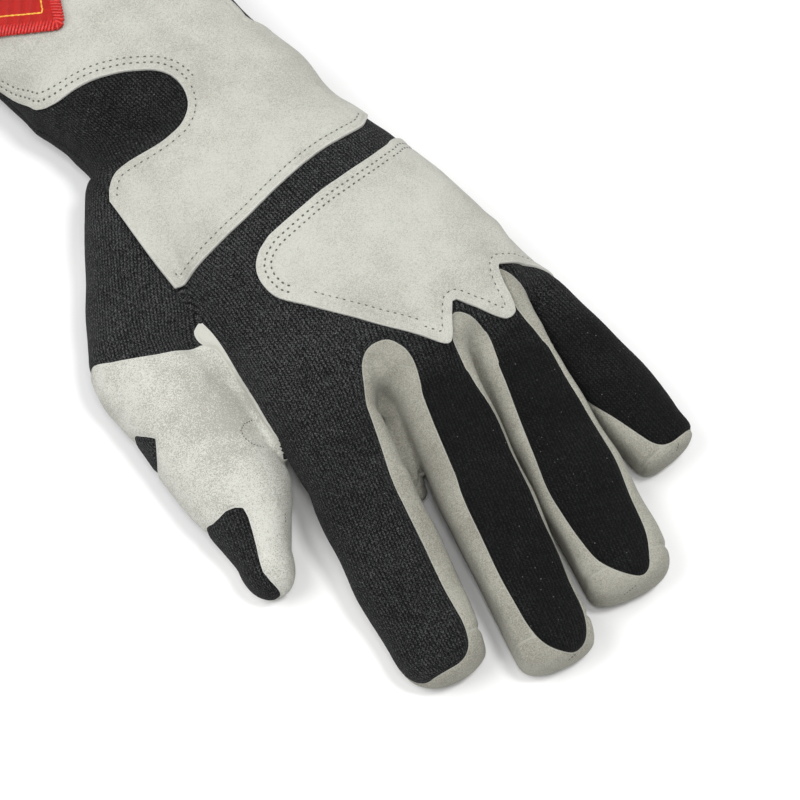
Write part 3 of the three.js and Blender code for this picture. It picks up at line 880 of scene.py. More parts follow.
@dataclass
class SewingPattern:
    """Where the panels of the shell meet, and the outlines of what is sewn on."""

    form: GloveForm
    gusset_loops: tuple[tuple[tuple[float, float], ...], ...] = (
        ((-12.9, -11), (-12.6, -6), (-11.4, -1), (-8.6, 2.8), (-5, 4.1), (-1.4, 3.4), (1.2, 0), (2.1, -4.2),
         (1.4, -8.5), (0.8, -11)),
        ((14.8, -11), (14.7, -6), (14.6, -2), (16, 2.6), (18.4, 4), (21, 2.4), (23.4, -1), (24.1, -5),
         (23.6, -11)),
        ((37.6, -11), (36.5, -6.4), (35.2, -2), (34.4, 2), (34.2, 10.4), (35.4, 11.4), (37.9, 8.4),
         (39.4, 3.4),
         (39.7, -4), (39.6, -11)),
    )
    side_strip: tuple[tuple[float, float], ...] = (
        (-44, 33.7), (-42.8, 29.1), (-41.8, 23.4), (-40.8, 15.2), (-40.2, 7.4), (-39.3, -0.5), (-38.6, -6),
        (-38, -12.6), (-39.2, -3.9), (-40.3, 2.7), (-41.2, 12.3), (-42.4, 20), (-43.4, 24.2),
        (-45.5, 26.6), (-46.7, 29), (-46.5, 31.7))
    thumb_seam: tuple[tuple[float, float], ...] = (
        (-53, 90), (-52.4, 75.3), (-50.5, 60.7), (-48.7, 52), (-46.3, 42.7), (-44.7, 36.4), (-43.6, 27))
    thumb_suede_top: tuple[tuple[float, float], ...] = (
        (-43.6, 27.4), (-48.3, 27.6), (-56.2, 28.5), (-62, 29.9), (-67.9, 31.8), (-72.9, 34.4), (-84, 44))
    thumb_hand_edge: tuple[tuple[float, float], ...] = (
        (-43.6, 27.4), (-42.3, 20), (-41.1, 12.3), (-40.1, 2.7), (-39.2, -3.9), (-38.4, -9), (-38.3, -30),
        (-39, -44))
    thumb_tip_edge: tuple[tuple[float, float], ...] = (
        (-80, -18), (-64.9, -18.1), (-63.5, -18.9), (-61.4, -18.8), (-59, -18.3), (-56.5, -18.6),
        (-54.5, -19.5),
        (-54.2, -22), (-54.6, -25.4), (-55.4, -30.1), (-56.2, -34), (-56.4, -36.6), (-55.4, -39.2),
        (-52, -45))
    thumb_side_cut: tuple[tuple[float, float], ...] = (
        (-80, 18), (-72.4, 14.2), (-71, 12), (-68.1, 8.6), (-68.9, 6.4), (-70.1, 3.7), (-80, -6))
    wrist_seam: tuple[tuple[float, float], ...] = ((-90, 66), (40, 104.5))
    thumb_strips: tuple[tuple[float, float, float], ...] = ((1.6, 3.9, 11.0), (3.4, 7.8, 7.0))
    strip_share: float = 0.62            # of the thumb's half width, where the outer strip starts
    floor_z: float = 1.8                 # height over the floor at which the thumb's knit ends
    gusset_low_z: float = 8.0
    loop_blend: float = 1.2
    end_blend: float = 5.0
    gusset_end: float = 6.0
    palm_seam_angle: float = 112.0
    thumb_palm_z: float = 4.5
    thumb_base_z: float = 10.0

    def mark(self, skin: Skin) -> None:
        """Marks the skin with the distances from every seam line and with the cloth's own measure.

        Args:
            skin: The glove's whole surface.
        """
        points = skin.points
        places = [finger.tube.locate(points) for finger in self.form.fingers]
        lanes = self.form.lane_number(points)
        y, z = points[:, 1], points[:, 2]
        loops = [inside_distance(spline(loop, 6), points) for loop in self.gusset_loops]
        loop = np.maximum.reduce(loops)
        knit, palm, gusset_of = np.zeros(len(points)), np.zeros(len(points)), np.zeros(len(points))
        strip_outline = spline([*self.side_strip, self.side_strip[0]], 4)
        strip = np.minimum(inside_distance(strip_outline, points), z - self.gusset_low_z)
        palm_hand = np.maximum(np.minimum(SIDE_SEAM_Z - z, -loop), self.gusset_low_z - z)
        share = smooth_step(1, -4, y)
        for number, (finger, place) in enumerate(zip(self.form.fingers, places)):
            own = lanes == number
            sides = smooth_min(*(finger.side_edge(place, points, side) for side in (-1, 1)), EDGE_BLEND)
            end = finger.knit_end + finger.end_slant * place.side - place.beyond
            back = smooth_min(sides, end, self.end_blend)
            knit[own] = back[own]
            turn = np.abs(place.angle)
            under = np.radians(turn - self.palm_seam_angle) * place.radius
            if finger.outer_side:
                under = np.where(place.side * finger.outer_side > 0, WELL_INSIDE, under)
            tip = np.maximum(under, place.beyond - self.gusset_end)
            palm[own] = (palm_hand * (1 - share) + tip * share)[own]
            gusset_of[own] = (number - (place.side < 0))[own]
        knit = np.minimum(smooth_min(knit, -loop, self.loop_blend), -strip)
        skin.marks.update(knit=knit, palm=np.maximum(palm, strip), gusset=gusset_of.astype(float))
        thumb_panels = self.thumb_marks(points)
        skin.marks.update({name: np.minimum(values, -strip) for name, values in thumb_panels.items()})
        (x0, y0), (x1, y1) = self.wrist_seam
        past = (y - y0) * (x1 - x0) - (points[:, 0] - x0) * (y1 - y0)
        skin.marks["cuff"] = past / math.hypot(x1 - x0, y1 - y0)
        end = self.form.hand.rows[0]
        _, slope = self.form.hand.curve(np.zeros(1))
        along = slope[0, :3] / np.linalg.norm(slope[0, :3])
        skin.marks["mouth"] = (points - np.array(end[:3])) @ along
        self.mark_cloth(skin, places, lanes)

    def thumb_marks(self, points: Array) -> dict[str, Array]:
        """Distances from the thumb's seams, positive on the panel.

        Args:
            points: Places on the glove's surface.

        Returns:
            The marks of the knit and the suede panel.
        """
        z = points[:, 2]
        base = np.vstack([spline(self.thumb_seam, 5), spline(self.thumb_suede_top, 5)[1:],
                          [(-95, 60), (-75, 94)]])
        tip = np.vstack([self.thumb_tip_edge, [(-90, -50)]])
        suede = np.vstack([spline(self.thumb_suede_top, 5)[::-1], spline(self.thumb_hand_edge, 5)[1:],
                           [(-90, -60)]])

        def strip(first: float, last: float, high: float) -> Array:
            """Distances from the knit strip along the thumb's outer side.

            Args:
                first: The thumb's station where it starts.
                last: The station where it ends.
                high: The height that it ends at.

            Returns:
                The distances, positive on the strip.
            """
            value, _ = self.form.thumb.curve(np.linspace(first, last, 6))
            inner = np.stack([value[:, 0] - self.strip_share * value[:, 3], value[:, 1]], 1)
            outline = np.vstack([inner, [(-95, inner[-1, 1]), (-95, inner[0, 1])]])
            return np.minimum.reduce([inside_distance(outline, points), z - self.floor_z, high - z])

        panels = [
            np.minimum(inside_distance(base, points), z - self.thumb_base_z),
            *(strip(*row) for row in self.thumb_strips),
            np.minimum(inside_distance(tip, points), z - self.thumb_palm_z),
            np.minimum(inside_distance(np.array(self.thumb_side_cut), points), z - self.thumb_palm_z),
        ]
        top = np.minimum(inside_distance(suede, points), z - self.thumb_palm_z)
        return {"thumb_knit": np.maximum.reduce(panels), "thumb_suede": top}

    def mark_cloth(self, skin: Skin, places: list[Place], lanes: Array) -> None:
        """Marks how far across and along the cloth each point lies, so that a weave can follow it.

        Args:
            skin: The glove's surface.
            places: Its points in the terms of each finger.
            lanes: Which finger's lane each point lies in.
        """
        points = skin.points
        hand = self.form.hand
        across, along = hand.cloth(hand.locate(points))
        share = smooth_step(16, -6, points[:, 1])
        for number, (finger, place) in enumerate(zip(self.form.fingers, places)):
            own = lanes == number
            root = np.array([finger.tube.rows[1][:3]])
            spot = hand.locate(root)
            root_across, root_along = hand.cloth(spot)
            finger_across, finger_along = finger.tube.cloth(place)
            near_across = finger_across + spot.side[0]
            near_along = finger_along + root_along[0] - finger.tube.lengths()[1]
            across[own] = (across * (1 - share) + near_across * share)[own]
            along[own] = (along * (1 - share) + near_along * share)[own]
        thumb = self.form.thumb
        thumb_place = thumb.locate(points)
        thumb_across, thumb_along = thumb.cloth(thumb_place)
        x, y = points[:, 0], points[:, 1]
        # Share of the paler yarn: 1 on the back of the hand and the thumb's base, 0.65 on the index finger
        # and the thumb's tip, 0 on the other fingers; less towards the cuff and on the little-finger side of
        # the hand.
        lint = 1 - smooth_step(14, -16, y) * (0.35 + 0.65 * smooth_step(-12, -2, x))
        lint *= 1 - 0.6 * smooth_step(74, 90, y) - 0.35 * smooth_step(22, 40, x) * smooth_step(60, 20, y)
        # The pale mark paints light on the palm's strip in the crotch beside the thumb: 1 left of x = -36, 0
        # right of x = -33.
        skin.marks.update(across=across, along=along, thumb_across=thumb_across, thumb_along=thumb_along,
                          lint=np.clip(lint, 0, 1), pale=smooth_step(-33, -36, x))


class Wire:
    """A socket of a material's nodes that can be used in sums."""

    def __init__(self, sheet: "NodeSheet", socket: bpy.types.NodeSocket) -> None:
        """Keeps the socket and the sheet that it belongs to."""
        self.sheet = sheet
        self.socket = socket

    def _math(self, operation: str, *values: "Wire | float") -> "Wire":
        """A Math node on some values."""
        return self.sheet.node("ShaderNodeMath", {"operation": operation}, dict(enumerate(values)))

    def __add__(self, other: "Wire | float") -> "Wire":
        """Sum."""
        return self._math("ADD", self, other)

    def __radd__(self, other: float) -> "Wire":
        """Sum, the other way round."""
        return self._math("ADD", other, self)

    def __sub__(self, other: "Wire | float") -> "Wire":
        """Difference."""
        return self._math("SUBTRACT", self, other)

    def __rsub__(self, other: float) -> "Wire":
        """Difference, the other way round."""
        return self._math("SUBTRACT", other, self)

    def __mul__(self, other: "Wire | float") -> "Wire":
        """Product."""
        return self._math("MULTIPLY", self, other)

    def __rmul__(self, other: float) -> "Wire":
        """Product, the other way round."""
        return self._math("MULTIPLY", other, self)

    def __truediv__(self, other: "Wire | float") -> "Wire":
        """Quotient."""
        return self._math("DIVIDE", self, other)

    def __rtruediv__(self, other: float) -> "Wire":
        """Quotient, the other way round."""
        return self._math("DIVIDE", other, self)

    def __abs__(self) -> "Wire":
        """Size without the sign."""
        return self._math("ABSOLUTE", self)

    def fraction(self) -> "Wire":
        """What is left past the whole number below."""
        return self._math("FRACT", self)

    def between(self, low: float, high: float) -> "Wire":
        """0 at low and 1 at high, with a soft step between them."""
        settings = {"interpolation_type": "SMOOTHSTEP"}
        inputs = {"Value": self, "From Min": low, "From Max": high}
        return self.sheet.node("ShaderNodeMapRange", settings, inputs)


class NodeSheet:
    """The node tree of one material."""

    def __init__(self, name: str) -> None:
        """Makes the material and keeps its surface shader."""
        self.material = bpy.data.materials.new(name)
        self.material.use_nodes = True
        self.tree = self.material.node_tree
        self.shader = self.tree.nodes["Principled BSDF"]

    def fill(self, node: bpy.types.Node, key: "int | str", value: "Wire | float | Sequence[float]") -> None:
        """Links or sets one socket of a node.

        Args:
            node: The node.
            key: The socket's name or number.
            value: A wire, a number, or a colour or vector.
        """
        socket = node.inputs[key]
        if isinstance(value, Wire):
            self.tree.links.new(value.socket, socket)
        elif isinstance(value, (tuple, list)) and socket.type == "RGBA" and len(value) == 3:
            socket.default_value = (*value, 1.0)
        else:
            socket.default_value = value

    def node(self, kind: str, settings: dict | None = None, inputs: dict | None = None,
             output: "int | str" = 0) -> Wire:
        """Adds a node.

        Args:
            kind: The node's type.
            settings: Its own settings, which are set first.
            inputs: Values or wires of its sockets.
            output: The socket that is handed back.

        Returns:
            That output socket.
        """
        node = self.tree.nodes.new(kind)
        for key, value in (settings or {}).items():
            setattr(node, key, value)
        for key, value in (inputs or {}).items():
            self.fill(node, key, value)
        return Wire(self, node.outputs[output])

    def mark(self, name: str) -> Wire:
        """A number that the mesh's points carry."""
        return self.node("ShaderNodeAttribute", {"attribute_name": name}, output="Fac")

    def place(self) -> Wire:
        """Where a point of the surface is, in the object's own frame."""
        return self.node("ShaderNodeTexCoord", output="Object")

    def noise(self, size_mm: float, detail: float = 2.0, roughness: float = 0.5) -> Wire:
        """Cloudy noise about 0.5.

        Args:
            size_mm: Size of its lumps.
            detail: Number of finer layers.
            roughness: Weight of the finer layers.

        Returns:
            The noise.
        """
        inputs = {"Vector": self.place(), "Scale": 1 / (size_mm * MM), "Detail": detail,
                  "Roughness": roughness}
        return self.node("ShaderNodeTexNoise", {}, inputs)

    def mix(self, factor: "Wire | float", first: "Wire | Colour", second: "Wire | Colour") -> Wire:
        """A colour between two, the second where the factor is 1."""
        return self.node("ShaderNodeMix", {"data_type": "RGBA"}, {0: factor, 6: first, 7: second}, output=2)

    def bump(self, height: Wire, depth_mm: float, strength: float = 1.0) -> Wire:
        """A normal for fine relief of the given depth."""
        inputs = {"Height": height, "Distance": depth_mm * MM, "Strength": strength}
        return self.node("ShaderNodeBump", {}, inputs)

    def finish(self, **sockets: "Wire | float | Colour") -> bpy.types.Material:
        """Fills the shader's sockets.

        Args:
            sockets: Their values by name, in small letters and with _ for a space.

        Returns:
            The material.
        """
        for name, value in sockets.items():
            self.fill(self.shader, name.replace("_", " ").title().replace("Ior", "IOR"), value)
        return self.material


@dataclass(frozen=True)
class KnitFinish:
    """Fine black jersey with pale lint on it."""

    # colour of the hollows between the stitches: painted shade
    valley_shade: Colour = (0.0024, 0.0025, 0.0028)
    yarn: Colour = (0.0155, 0.016, 0.0157)
    # paler yarn where the mesh's yarn-tone mark is high; the colour after it is that of the lint specks
    linty_yarn: Colour = (0.080, 0.082, 0.083)
    lint: Colour = (0.26, 0.26, 0.25)
    wale_mm: float = 0.95
    course_mm: float = 0.85
    relief_mm: float = 0.22
    across: str = "across"
    along: str = "along"

    def material(self, name: str) -> bpy.types.Material:
        """The knit's material.

        Args:
            name: The material's name.

        Returns:
            The material, whose stitches follow the mesh's marks.
        """
        sheet = NodeSheet(name)
        wander = sheet.noise(4.5, 2.0) - 0.5
        column = sheet.mark(self.across) / self.wale_mm + wander * 0.8
        course = sheet.mark(self.along) / self.course_mm + wander * 0.9
        leg = abs(column.fraction() - 0.5)
        loop = (course + leg * 1.9).fraction() * 2 - 1
        stitch = (1 - leg * leg * 2.6) * (1 - loop * loop * 0.75)
        fuzz = sheet.noise(0.34, 2.0, roughness=0.75)
        speckle = sheet.noise(0.5, 3.0, roughness=0.85).between(0.44, 0.70)
        cloud = (sheet.noise(24.0, 2.0) - 0.5) * 0.35 + (sheet.noise(2.4, 2.0) - 0.5) * 0.45
        height = stitch * (fuzz * 0.8 + 0.5)
        # The tone follows the stitches' height: the crowns take the yarn's colour and the hollows between
        # them the valley colour, which paints their shade.
        tone = height * 0.7 + cloud * 0.7 + speckle * (stitch * 1.3 + 0.2) - 0.36
        # Yarn tone by region, from the mesh's mark, with cloudy noise.
        linty = sheet.mark("lint") + (sheet.noise(9.0, 2.0) - 0.5) * 0.5
        yarn = sheet.mix(linty, self.yarn, self.linty_yarn)
        colour = sheet.mix(tone, self.valley_shade, yarn)
        fibre = sheet.node("ShaderNodeTexVoronoi", {"feature": "F1"},
                           {"Vector": sheet.place(), "Scale": 1 / (1.3 * MM), "Randomness": 1.0})
        rare = sheet.noise(1.3, 1.0).between(0.57, 0.65)
        speck = (1 - fibre.between(0.05, 0.16)) * rare
        # Sparse pale lint specks.
        colour = sheet.mix(speck * 0.5, colour, self.lint)
        relief = height + fuzz * 0.35
        return sheet.finish(base_color=colour, roughness=0.95, specular_ior_level=0.1, sheen_weight=0.02,
                            sheen_roughness=0.4, normal=sheet.bump(relief, self.relief_mm))


@dataclass(frozen=True)
class SuedeFinish:
    """Split suede with a short mottled nap and a paler raw edge."""

    light: Colour = (0.335, 0.33, 0.283)
    dark: Colour = (0.19, 0.183, 0.15)
    raw_edge: Colour = (0.36, 0.355, 0.31)
    # paler tone for the palm's strip in the crotch beside the thumb, which lies in a crevice: painted light
    pale: Colour = (0.56, 0.56, 0.51)
    painted_light_share: float = 0.8              # share of the pale tone, painted light, where the mesh's pale mark is 1
    relief_mm: float = 0.4
    edge_width: float = 0.3
    mottle: float = 1.0

    def material(self, name: str) -> bpy.types.Material:
        """The suede's material.

        Args:
            name: The material's name.

        Returns:
            The material, paler where the mesh's edge mark is small.
        """
        sheet = NodeSheet(name)
        cloud = (sheet.noise(28.0, 2.0) - 0.5) * 1.4
        patch = (sheet.noise(6.0, 2.0) - 0.5) * 0.7
        nap = (sheet.noise(0.9, 3.0, roughness=0.85) - 0.5) * 1.2
        grain = (sheet.noise(0.3, 1.0) - 0.5) * 2.4
        tone = (cloud + patch + nap + grain) * self.mottle + 0.4
        colour = sheet.mix(tone, self.light, self.dark)
        edge = sheet.mark("edge")
        raw = 1 - edge.between(self.edge_width * 0.3, self.edge_width * 1.7)
        colour = sheet.mix(raw * 0.6, colour, self.raw_edge)
        # Painted light: the palm's suede left of x = -33 turns to the pale tone.
        colour = sheet.mix(sheet.mark("pale") * self.painted_light_share, colour, self.pale)
        relief = sheet.noise(0.5, 3.0, roughness=0.85) + sheet.noise(3.0, 2.0) * 0.9
        return sheet.finish(base_color=colour, roughness=0.95, specular_ior_level=0.1, sheen_weight=0.1,
                            sheen_roughness=0.5, normal=sheet.bump(relief, self.relief_mm))


@dataclass(frozen=True)
class ThreadFinish:
    """Sewing thread, with the twist showing."""

    colour: Colour
    shade: Colour
    roughness: float = 0.7

    def material(self, name: str) -> bpy.types.Material:
        """The thread's material.

        Args:
            name: The material's name.

        Returns:
            The material.
        """
        sheet = NodeSheet(name)
        tone = sheet.noise(0.6, 2.0).between(0.35, 0.65)
        return sheet.finish(base_color=sheet.mix(tone, self.colour, self.shade), roughness=self.roughness)


@dataclass(frozen=True)
class PatchFinish:
    """Embroidered red ground of slanting satin stitches."""

    thread: Colour = (0.52, 0.014, 0.009)
    shade: Colour = (0.24, 0.006, 0.005)
    thread_mm: float = 0.42
    row_mm: float = 3.2
    slant: float = 0.55

    def material(self, name: str) -> bpy.types.Material:
        """The embroidery's material.

        Args:
            name: The material's name.

        Returns:
            The material, whose stitches follow the patch's own sides.
        """
        sheet = NodeSheet(name)
        u, v = sheet.mark("patch_u"), sheet.mark("patch_v")
        row = (v / self.row_mm).fraction()
        fold = abs(row - 0.5)
        thread = ((u + fold * self.row_mm * self.slant * 2) / self.thread_mm).fraction() * 2 - 1
        crown = 1 - thread * thread
        ends = fold.between(0.36, 0.5)
        height = crown * (1 - ends * 0.55)
        tone = height * 0.9 + (sheet.noise(1.2, 2.0) - 0.5) * 0.4
        colour = sheet.mix(tone, self.shade, self.thread)
        return sheet.finish(base_color=colour, roughness=0.55, specular_ior_level=0.3,
                            normal=sheet.bump(height, 0.16))


class Finish(Enum):
    """The finishes of the glove, by the record's slot."""

    KNIT = "black_knit"
    SUEDE = "grey_suede"
    OVERLAY = "overlay_suede"
    PATCH = "patch_thread"


class Wardrobe:
    """Makes each material once."""

    def __init__(self) -> None:
        """Makes the materials."""
        self.back = KnitFinish().material("black_knit")
        thumb = KnitFinish(across="thumb_across", along="thumb_along")
        self.thumb = thumb.material("black_knit_thumb")
        # The palm and gussets take a darker copy of the grey suede than the thumb: partly its own darker
        # tone, partly painted shade for the gussets that lie in the valleys between the fingers.
        self.suede = SuedeFinish().material("grey_suede")
        self.thumb_suede = SuedeFinish(light=(0.60, 0.60, 0.55), dark=(0.37, 0.365, 0.32),
                                       raw_edge=(0.60, 0.60, 0.55), mottle=2.0, painted_light_share=0.0,
                                       relief_mm=0.6).material("grey_suede_thumb")
        self.overlay = SuedeFinish(light=(0.475, 0.475, 0.43), dark=(0.33, 0.325, 0.285), mottle=1.15,
                                   raw_edge=(0.53, 0.53, 0.49)).material("overlay_suede")
        self.patch = PatchFinish().material("patch_thread")
        self.pale_thread = ThreadFinish((0.42, 0.415, 0.37), (0.30, 0.295, 0.26)).material("pale_thread")
        # Dark finish of the needle holes and of the dips between stitches: painted shade.
        self.hole_shade = ThreadFinish((0.11, 0.105, 0.09), (0.05, 0.048, 0.04), 1.0).material("stitch_hole_shade")
        self.red_thread = ThreadFinish((0.52, 0.014, 0.009), (0.30, 0.008, 0.006), 0.5).material("red_thread")
        self.gold_thread = ThreadFinish((0.80, 0.42, 0.05), (0.55, 0.24, 0.02), 0.5).material("gold_thread")


def make_object(name: str, points: Array, faces: Array, marks: dict[str, Array],
                material: bpy.types.Material, crease_deg: float = 70.0) -> bpy.types.Object:
    """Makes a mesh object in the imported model's frame.

    Args:
        name: The object's name.
        points: Its points in the tables' millimetres.
        faces: Its triangles.
        marks: Numbers that its points carry.
        material: Its material.
        crease_deg: Angle above which an edge is sharp.

    Returns:
        The object, linked to the scene.
    """
    mesh = bpy.data.meshes.new(name)
    mesh.vertices.add(len(points))
    mesh.vertices.foreach_set("co", ((points - ORIGIN) * MM).astype(np.float32).ravel())
    mesh.loops.add(len(faces) * 3)
    mesh.loops.foreach_set("vertex_index", faces.astype(np.int32).ravel())
    mesh.polygons.add(len(faces))
    mesh.polygons.foreach_set("loop_start", np.arange(0, len(faces) * 3, 3, dtype=np.int32))
    mesh.update(calc_edges=True)
    mesh.validate()
    for key, values in marks.items():
        attribute = mesh.attributes.new(key, "FLOAT", "POINT")
        attribute.data.foreach_set("value", values.astype(np.float32))
    mesh.materials.append(material)
    mesh.shade_smooth()
    mesh.set_sharp_from_angle(angle=math.radians(crease_deg))
    thing = bpy.data.objects.new(name, mesh)
    bpy.context.scene.collection.objects.link(thing)
    return thing


def thickened(skin: Skin, top: Array, bottom: Array) -> tuple[Array, Array, dict[str, Array]]:
    """A closed solid between two offsets of a skin.

    Args:
        skin: The skin, with a border.
        top: Offset of the outer side along the normals.
        bottom: Offset of the inner side.

    Returns:
        The solid's points, faces and marks.
    """
    count = len(skin.points)
    points = np.vstack([skin.points + skin.normals * offset[:, None] for offset in (top, bottom)])
    edges = skin.border()
    i, j = edges[:, 0], edges[:, 1]
    walls = np.vstack([np.stack([j, i, i + count], 1), np.stack([j, i + count, j + count], 1)])
    faces = np.vstack([skin.faces, skin.faces[:, ::-1] + count, walls])
    marks = {name: np.concatenate([values, values]) for name, values in skin.marks.items()}
    return points, faces, marks


@dataclass(frozen=True)
class Bead:
    """A small rounded bar, lying along a line: a stitch, or a dark bead painted as the shade of the hole
    beside it.
    """

    length: float
    width: float
    height: float
    sink: float = 0.0
    sides: int = 6
    rings: int = 4

    def template(self) -> tuple[Array, Array]:
        """One bead along X with Z up.

        Returns:
            Its points and faces.
        """
        rows = []
        for k in range(1, self.rings + 1):
            turn = math.pi * k / (self.rings + 1)
            for s in range(self.sides):
                round_by = 2 * math.pi * s / self.sides
                rows.append((-math.cos(turn) * self.length / 2,
                             math.sin(turn) ** 0.6 * math.sin(round_by) * self.width / 2,
                             math.sin(turn) ** 0.6 * math.cos(round_by) * self.height / 2))
        ends = [(-self.length / 2, 0, 0), (self.length / 2, 0, 0)]
        points = np.array([*rows, *ends])
        first, last = len(rows), len(rows) + 1
        faces = []
        for s in range(self.sides):
            following = (s + 1) % self.sides
            faces.append((first, following, s))
            base = (self.rings - 1) * self.sides
            faces.append((last, base + s, base + following))
            for k in range(self.rings - 1):
                a, b = k * self.sides + s, k * self.sides + following
                faces.append((a, b, b + self.sides))
                faces.append((a, b + self.sides, a + self.sides))
        return points, np.array(faces)


def spaced(line: Array, normals: Array, pitch: float, offset: float = 0.0) -> tuple[Array, Array, Array]:
    """Even places along a line.

    Args:
        line: The line's points.
        normals: The surface's normals there.
        pitch: Distance from place to place.
        offset: Where the first place lies.

    Returns:
        The places, the directions of the line and the normals there.
    """
    steps = np.linalg.norm(np.diff(line, axis=0), axis=1)
    length = np.concatenate([[0.0], np.cumsum(steps)])
    count = int((length[-1] - offset) / pitch)
    if count < 1:
        empty = np.zeros((0, 3))
        return empty, empty, empty
    at = offset + pitch * (np.arange(count) + 0.5)

    def value(table: Array, where: Array) -> Array:
        """Values of a table along the line."""
        return np.stack([np.interp(where, length, table[:, k]) for k in range(3)], 1)

    span = pitch * 0.6
    direction = value(line, at + span) - value(line, at - span)
    direction /= np.linalg.norm(direction, axis=1, keepdims=True) + 1e-9
    normal = value(normals, at)
    normal -= direction * (normal * direction).sum(1, keepdims=True)
    normal /= np.linalg.norm(normal, axis=1, keepdims=True) + 1e-9
    return value(line, at), direction, normal


def strewn(bead: Bead, places: Array, directions: Array, normals: Array) -> tuple[Array, Array]:
    """One mesh of many beads.

    Args:
        bead: The bead.
        places: Their middles.
        directions: Which way each lies.
        normals: Which way is up for each.

    Returns:
        The points and faces of all of them.
    """
    template, faces = bead.template()
    sideways = np.cross(normals, directions)
    middles = places - normals * bead.sink
    points = (middles[:, None, :] + template[None, :, 0:1] * directions[:, None, :]
              + template[None, :, 1:2] * sideways[:, None, :] + template[None, :, 2:3] * normals[:, None, :])
    numbers = faces[None] + (np.arange(len(places)) * len(template))[:, None, None]
    return points.reshape(-1, 3), numbers.reshape(-1, 3)


@dataclass
class Glove:
    """The glove: its shell of panels and all that is sewn on."""

    form: GloveForm = field(default_factory=GloveForm)
    wardrobe: Wardrobe = field(default_factory=Wardrobe)

    def __post_init__(self) -> None:
        """Makes the whole skin and marks it with the sewing pattern."""
        self.pattern = SewingPattern(self.form)
        skin = surface_net(self.form, np.array(GRID_LOW), np.array(GRID_HIGH))
        log.info("skin of %d points", len(skin.points))
        self.pattern.mark(skin)
        self.skin, _ = skin.cut("mouth")
        log.info("skin marked")

    def attach(self, thing: bpy.types.Object, finish: Finish, *nodes: str) -> bpy.types.Object:
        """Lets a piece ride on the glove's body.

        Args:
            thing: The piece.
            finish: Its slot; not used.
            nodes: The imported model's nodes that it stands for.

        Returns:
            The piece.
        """
        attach(thing, BODY)
        if nodes:
            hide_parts(*nodes)
        log.info("%s: %d triangles", thing.name, len(thing.data.polygons))
        return thing


@dataclass
class Shell:
    """The knit and suede panels of the shell."""

    glove: Glove
    seam_dip: float = 0.5
    seam_reach: float = 0.9
    mouth_y: float = 160.0               # from here to the mouth a seam is dipped less
    mouth_dip: float = 0.4               # share of the dip that is left there
    lines: tuple[float, ...] = (0.2, 0.55, 1.1, 1.9)
    kept: tuple[str, ...] = ("across", "along", "thumb_across", "thumb_along", "edge", "lint", "pale")

    def panel(self, skin: Skin, name: str, finish: Finish, material: bpy.types.Material, node: str) -> None:
        """Makes one panel as a closed solid whose border sinks into its seams.

        Args:
            skin: The panel's part of the skin.
            name: The piece's name.
            finish: Its slot.
            material: Its material.
            node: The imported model's node that it stands for.
        """
        skin = skin.without_crumbs(SMALLEST_PART)
        skin.measure_edge()
        skin = skin.with_lines("edge", self.lines)
        skin.marks = {key: skin.marks[key] for key in self.kept}
        edge = skin.marks["edge"]
        dip = self.seam_dip * np.exp(-(edge / self.seam_reach) ** 2)
        top = -np.where(skin.points[:, 1] > self.mouth_y, dip * self.mouth_dip, dip)
        points, faces, marks = thickened(skin, top, np.full(len(edge), -CLOTH))
        points[:, 2] = np.maximum(points[:, 2], 0.0)
        thing = make_object(name, points, faces, marks, material)
        self.glove.attach(thing, finish, node)

    def build(self) -> None:
        """Cuts the skin into its panels and makes each."""
        wardrobe = self.glove.wardrobe
        thumb_knit, rest = self.glove.skin.cut("thumb_knit")
        thumb_suede, rest = rest.cut("thumb_suede")
        back, rest = rest.cut("knit")
        under, gussets = rest.cut("palm")
        cuff, palm = under.cut("cuff")
        self.panel(back, "back_of_hand", Finish.KNIT, wardrobe.back, "back_knit")
        self.panel(cuff, "cuff_underside", Finish.KNIT, wardrobe.back, "cuff_under_knit")
        self.panel(palm, "palm", Finish.SUEDE, wardrobe.suede, "palm_suede")
        self.panel(thumb_knit, "thumb_knit_panel", Finish.KNIT, wardrobe.thumb, "thumb_knit")
        self.panel(thumb_suede, "thumb_suede_panel", Finish.SUEDE, wardrobe.thumb_suede, "thumb_suede")
        own = gussets.marks["gusset"][gussets.faces].max(1).round()
        for number, node in enumerate(("gusset_index_middle", "gusset_middle_ring", "gusset_ring_little")):
            gusset = gussets.taking(gussets.faces[own == number])
            self.panel(gusset, f"{node}_panel", Finish.SUEDE, wardrobe.suede, node)


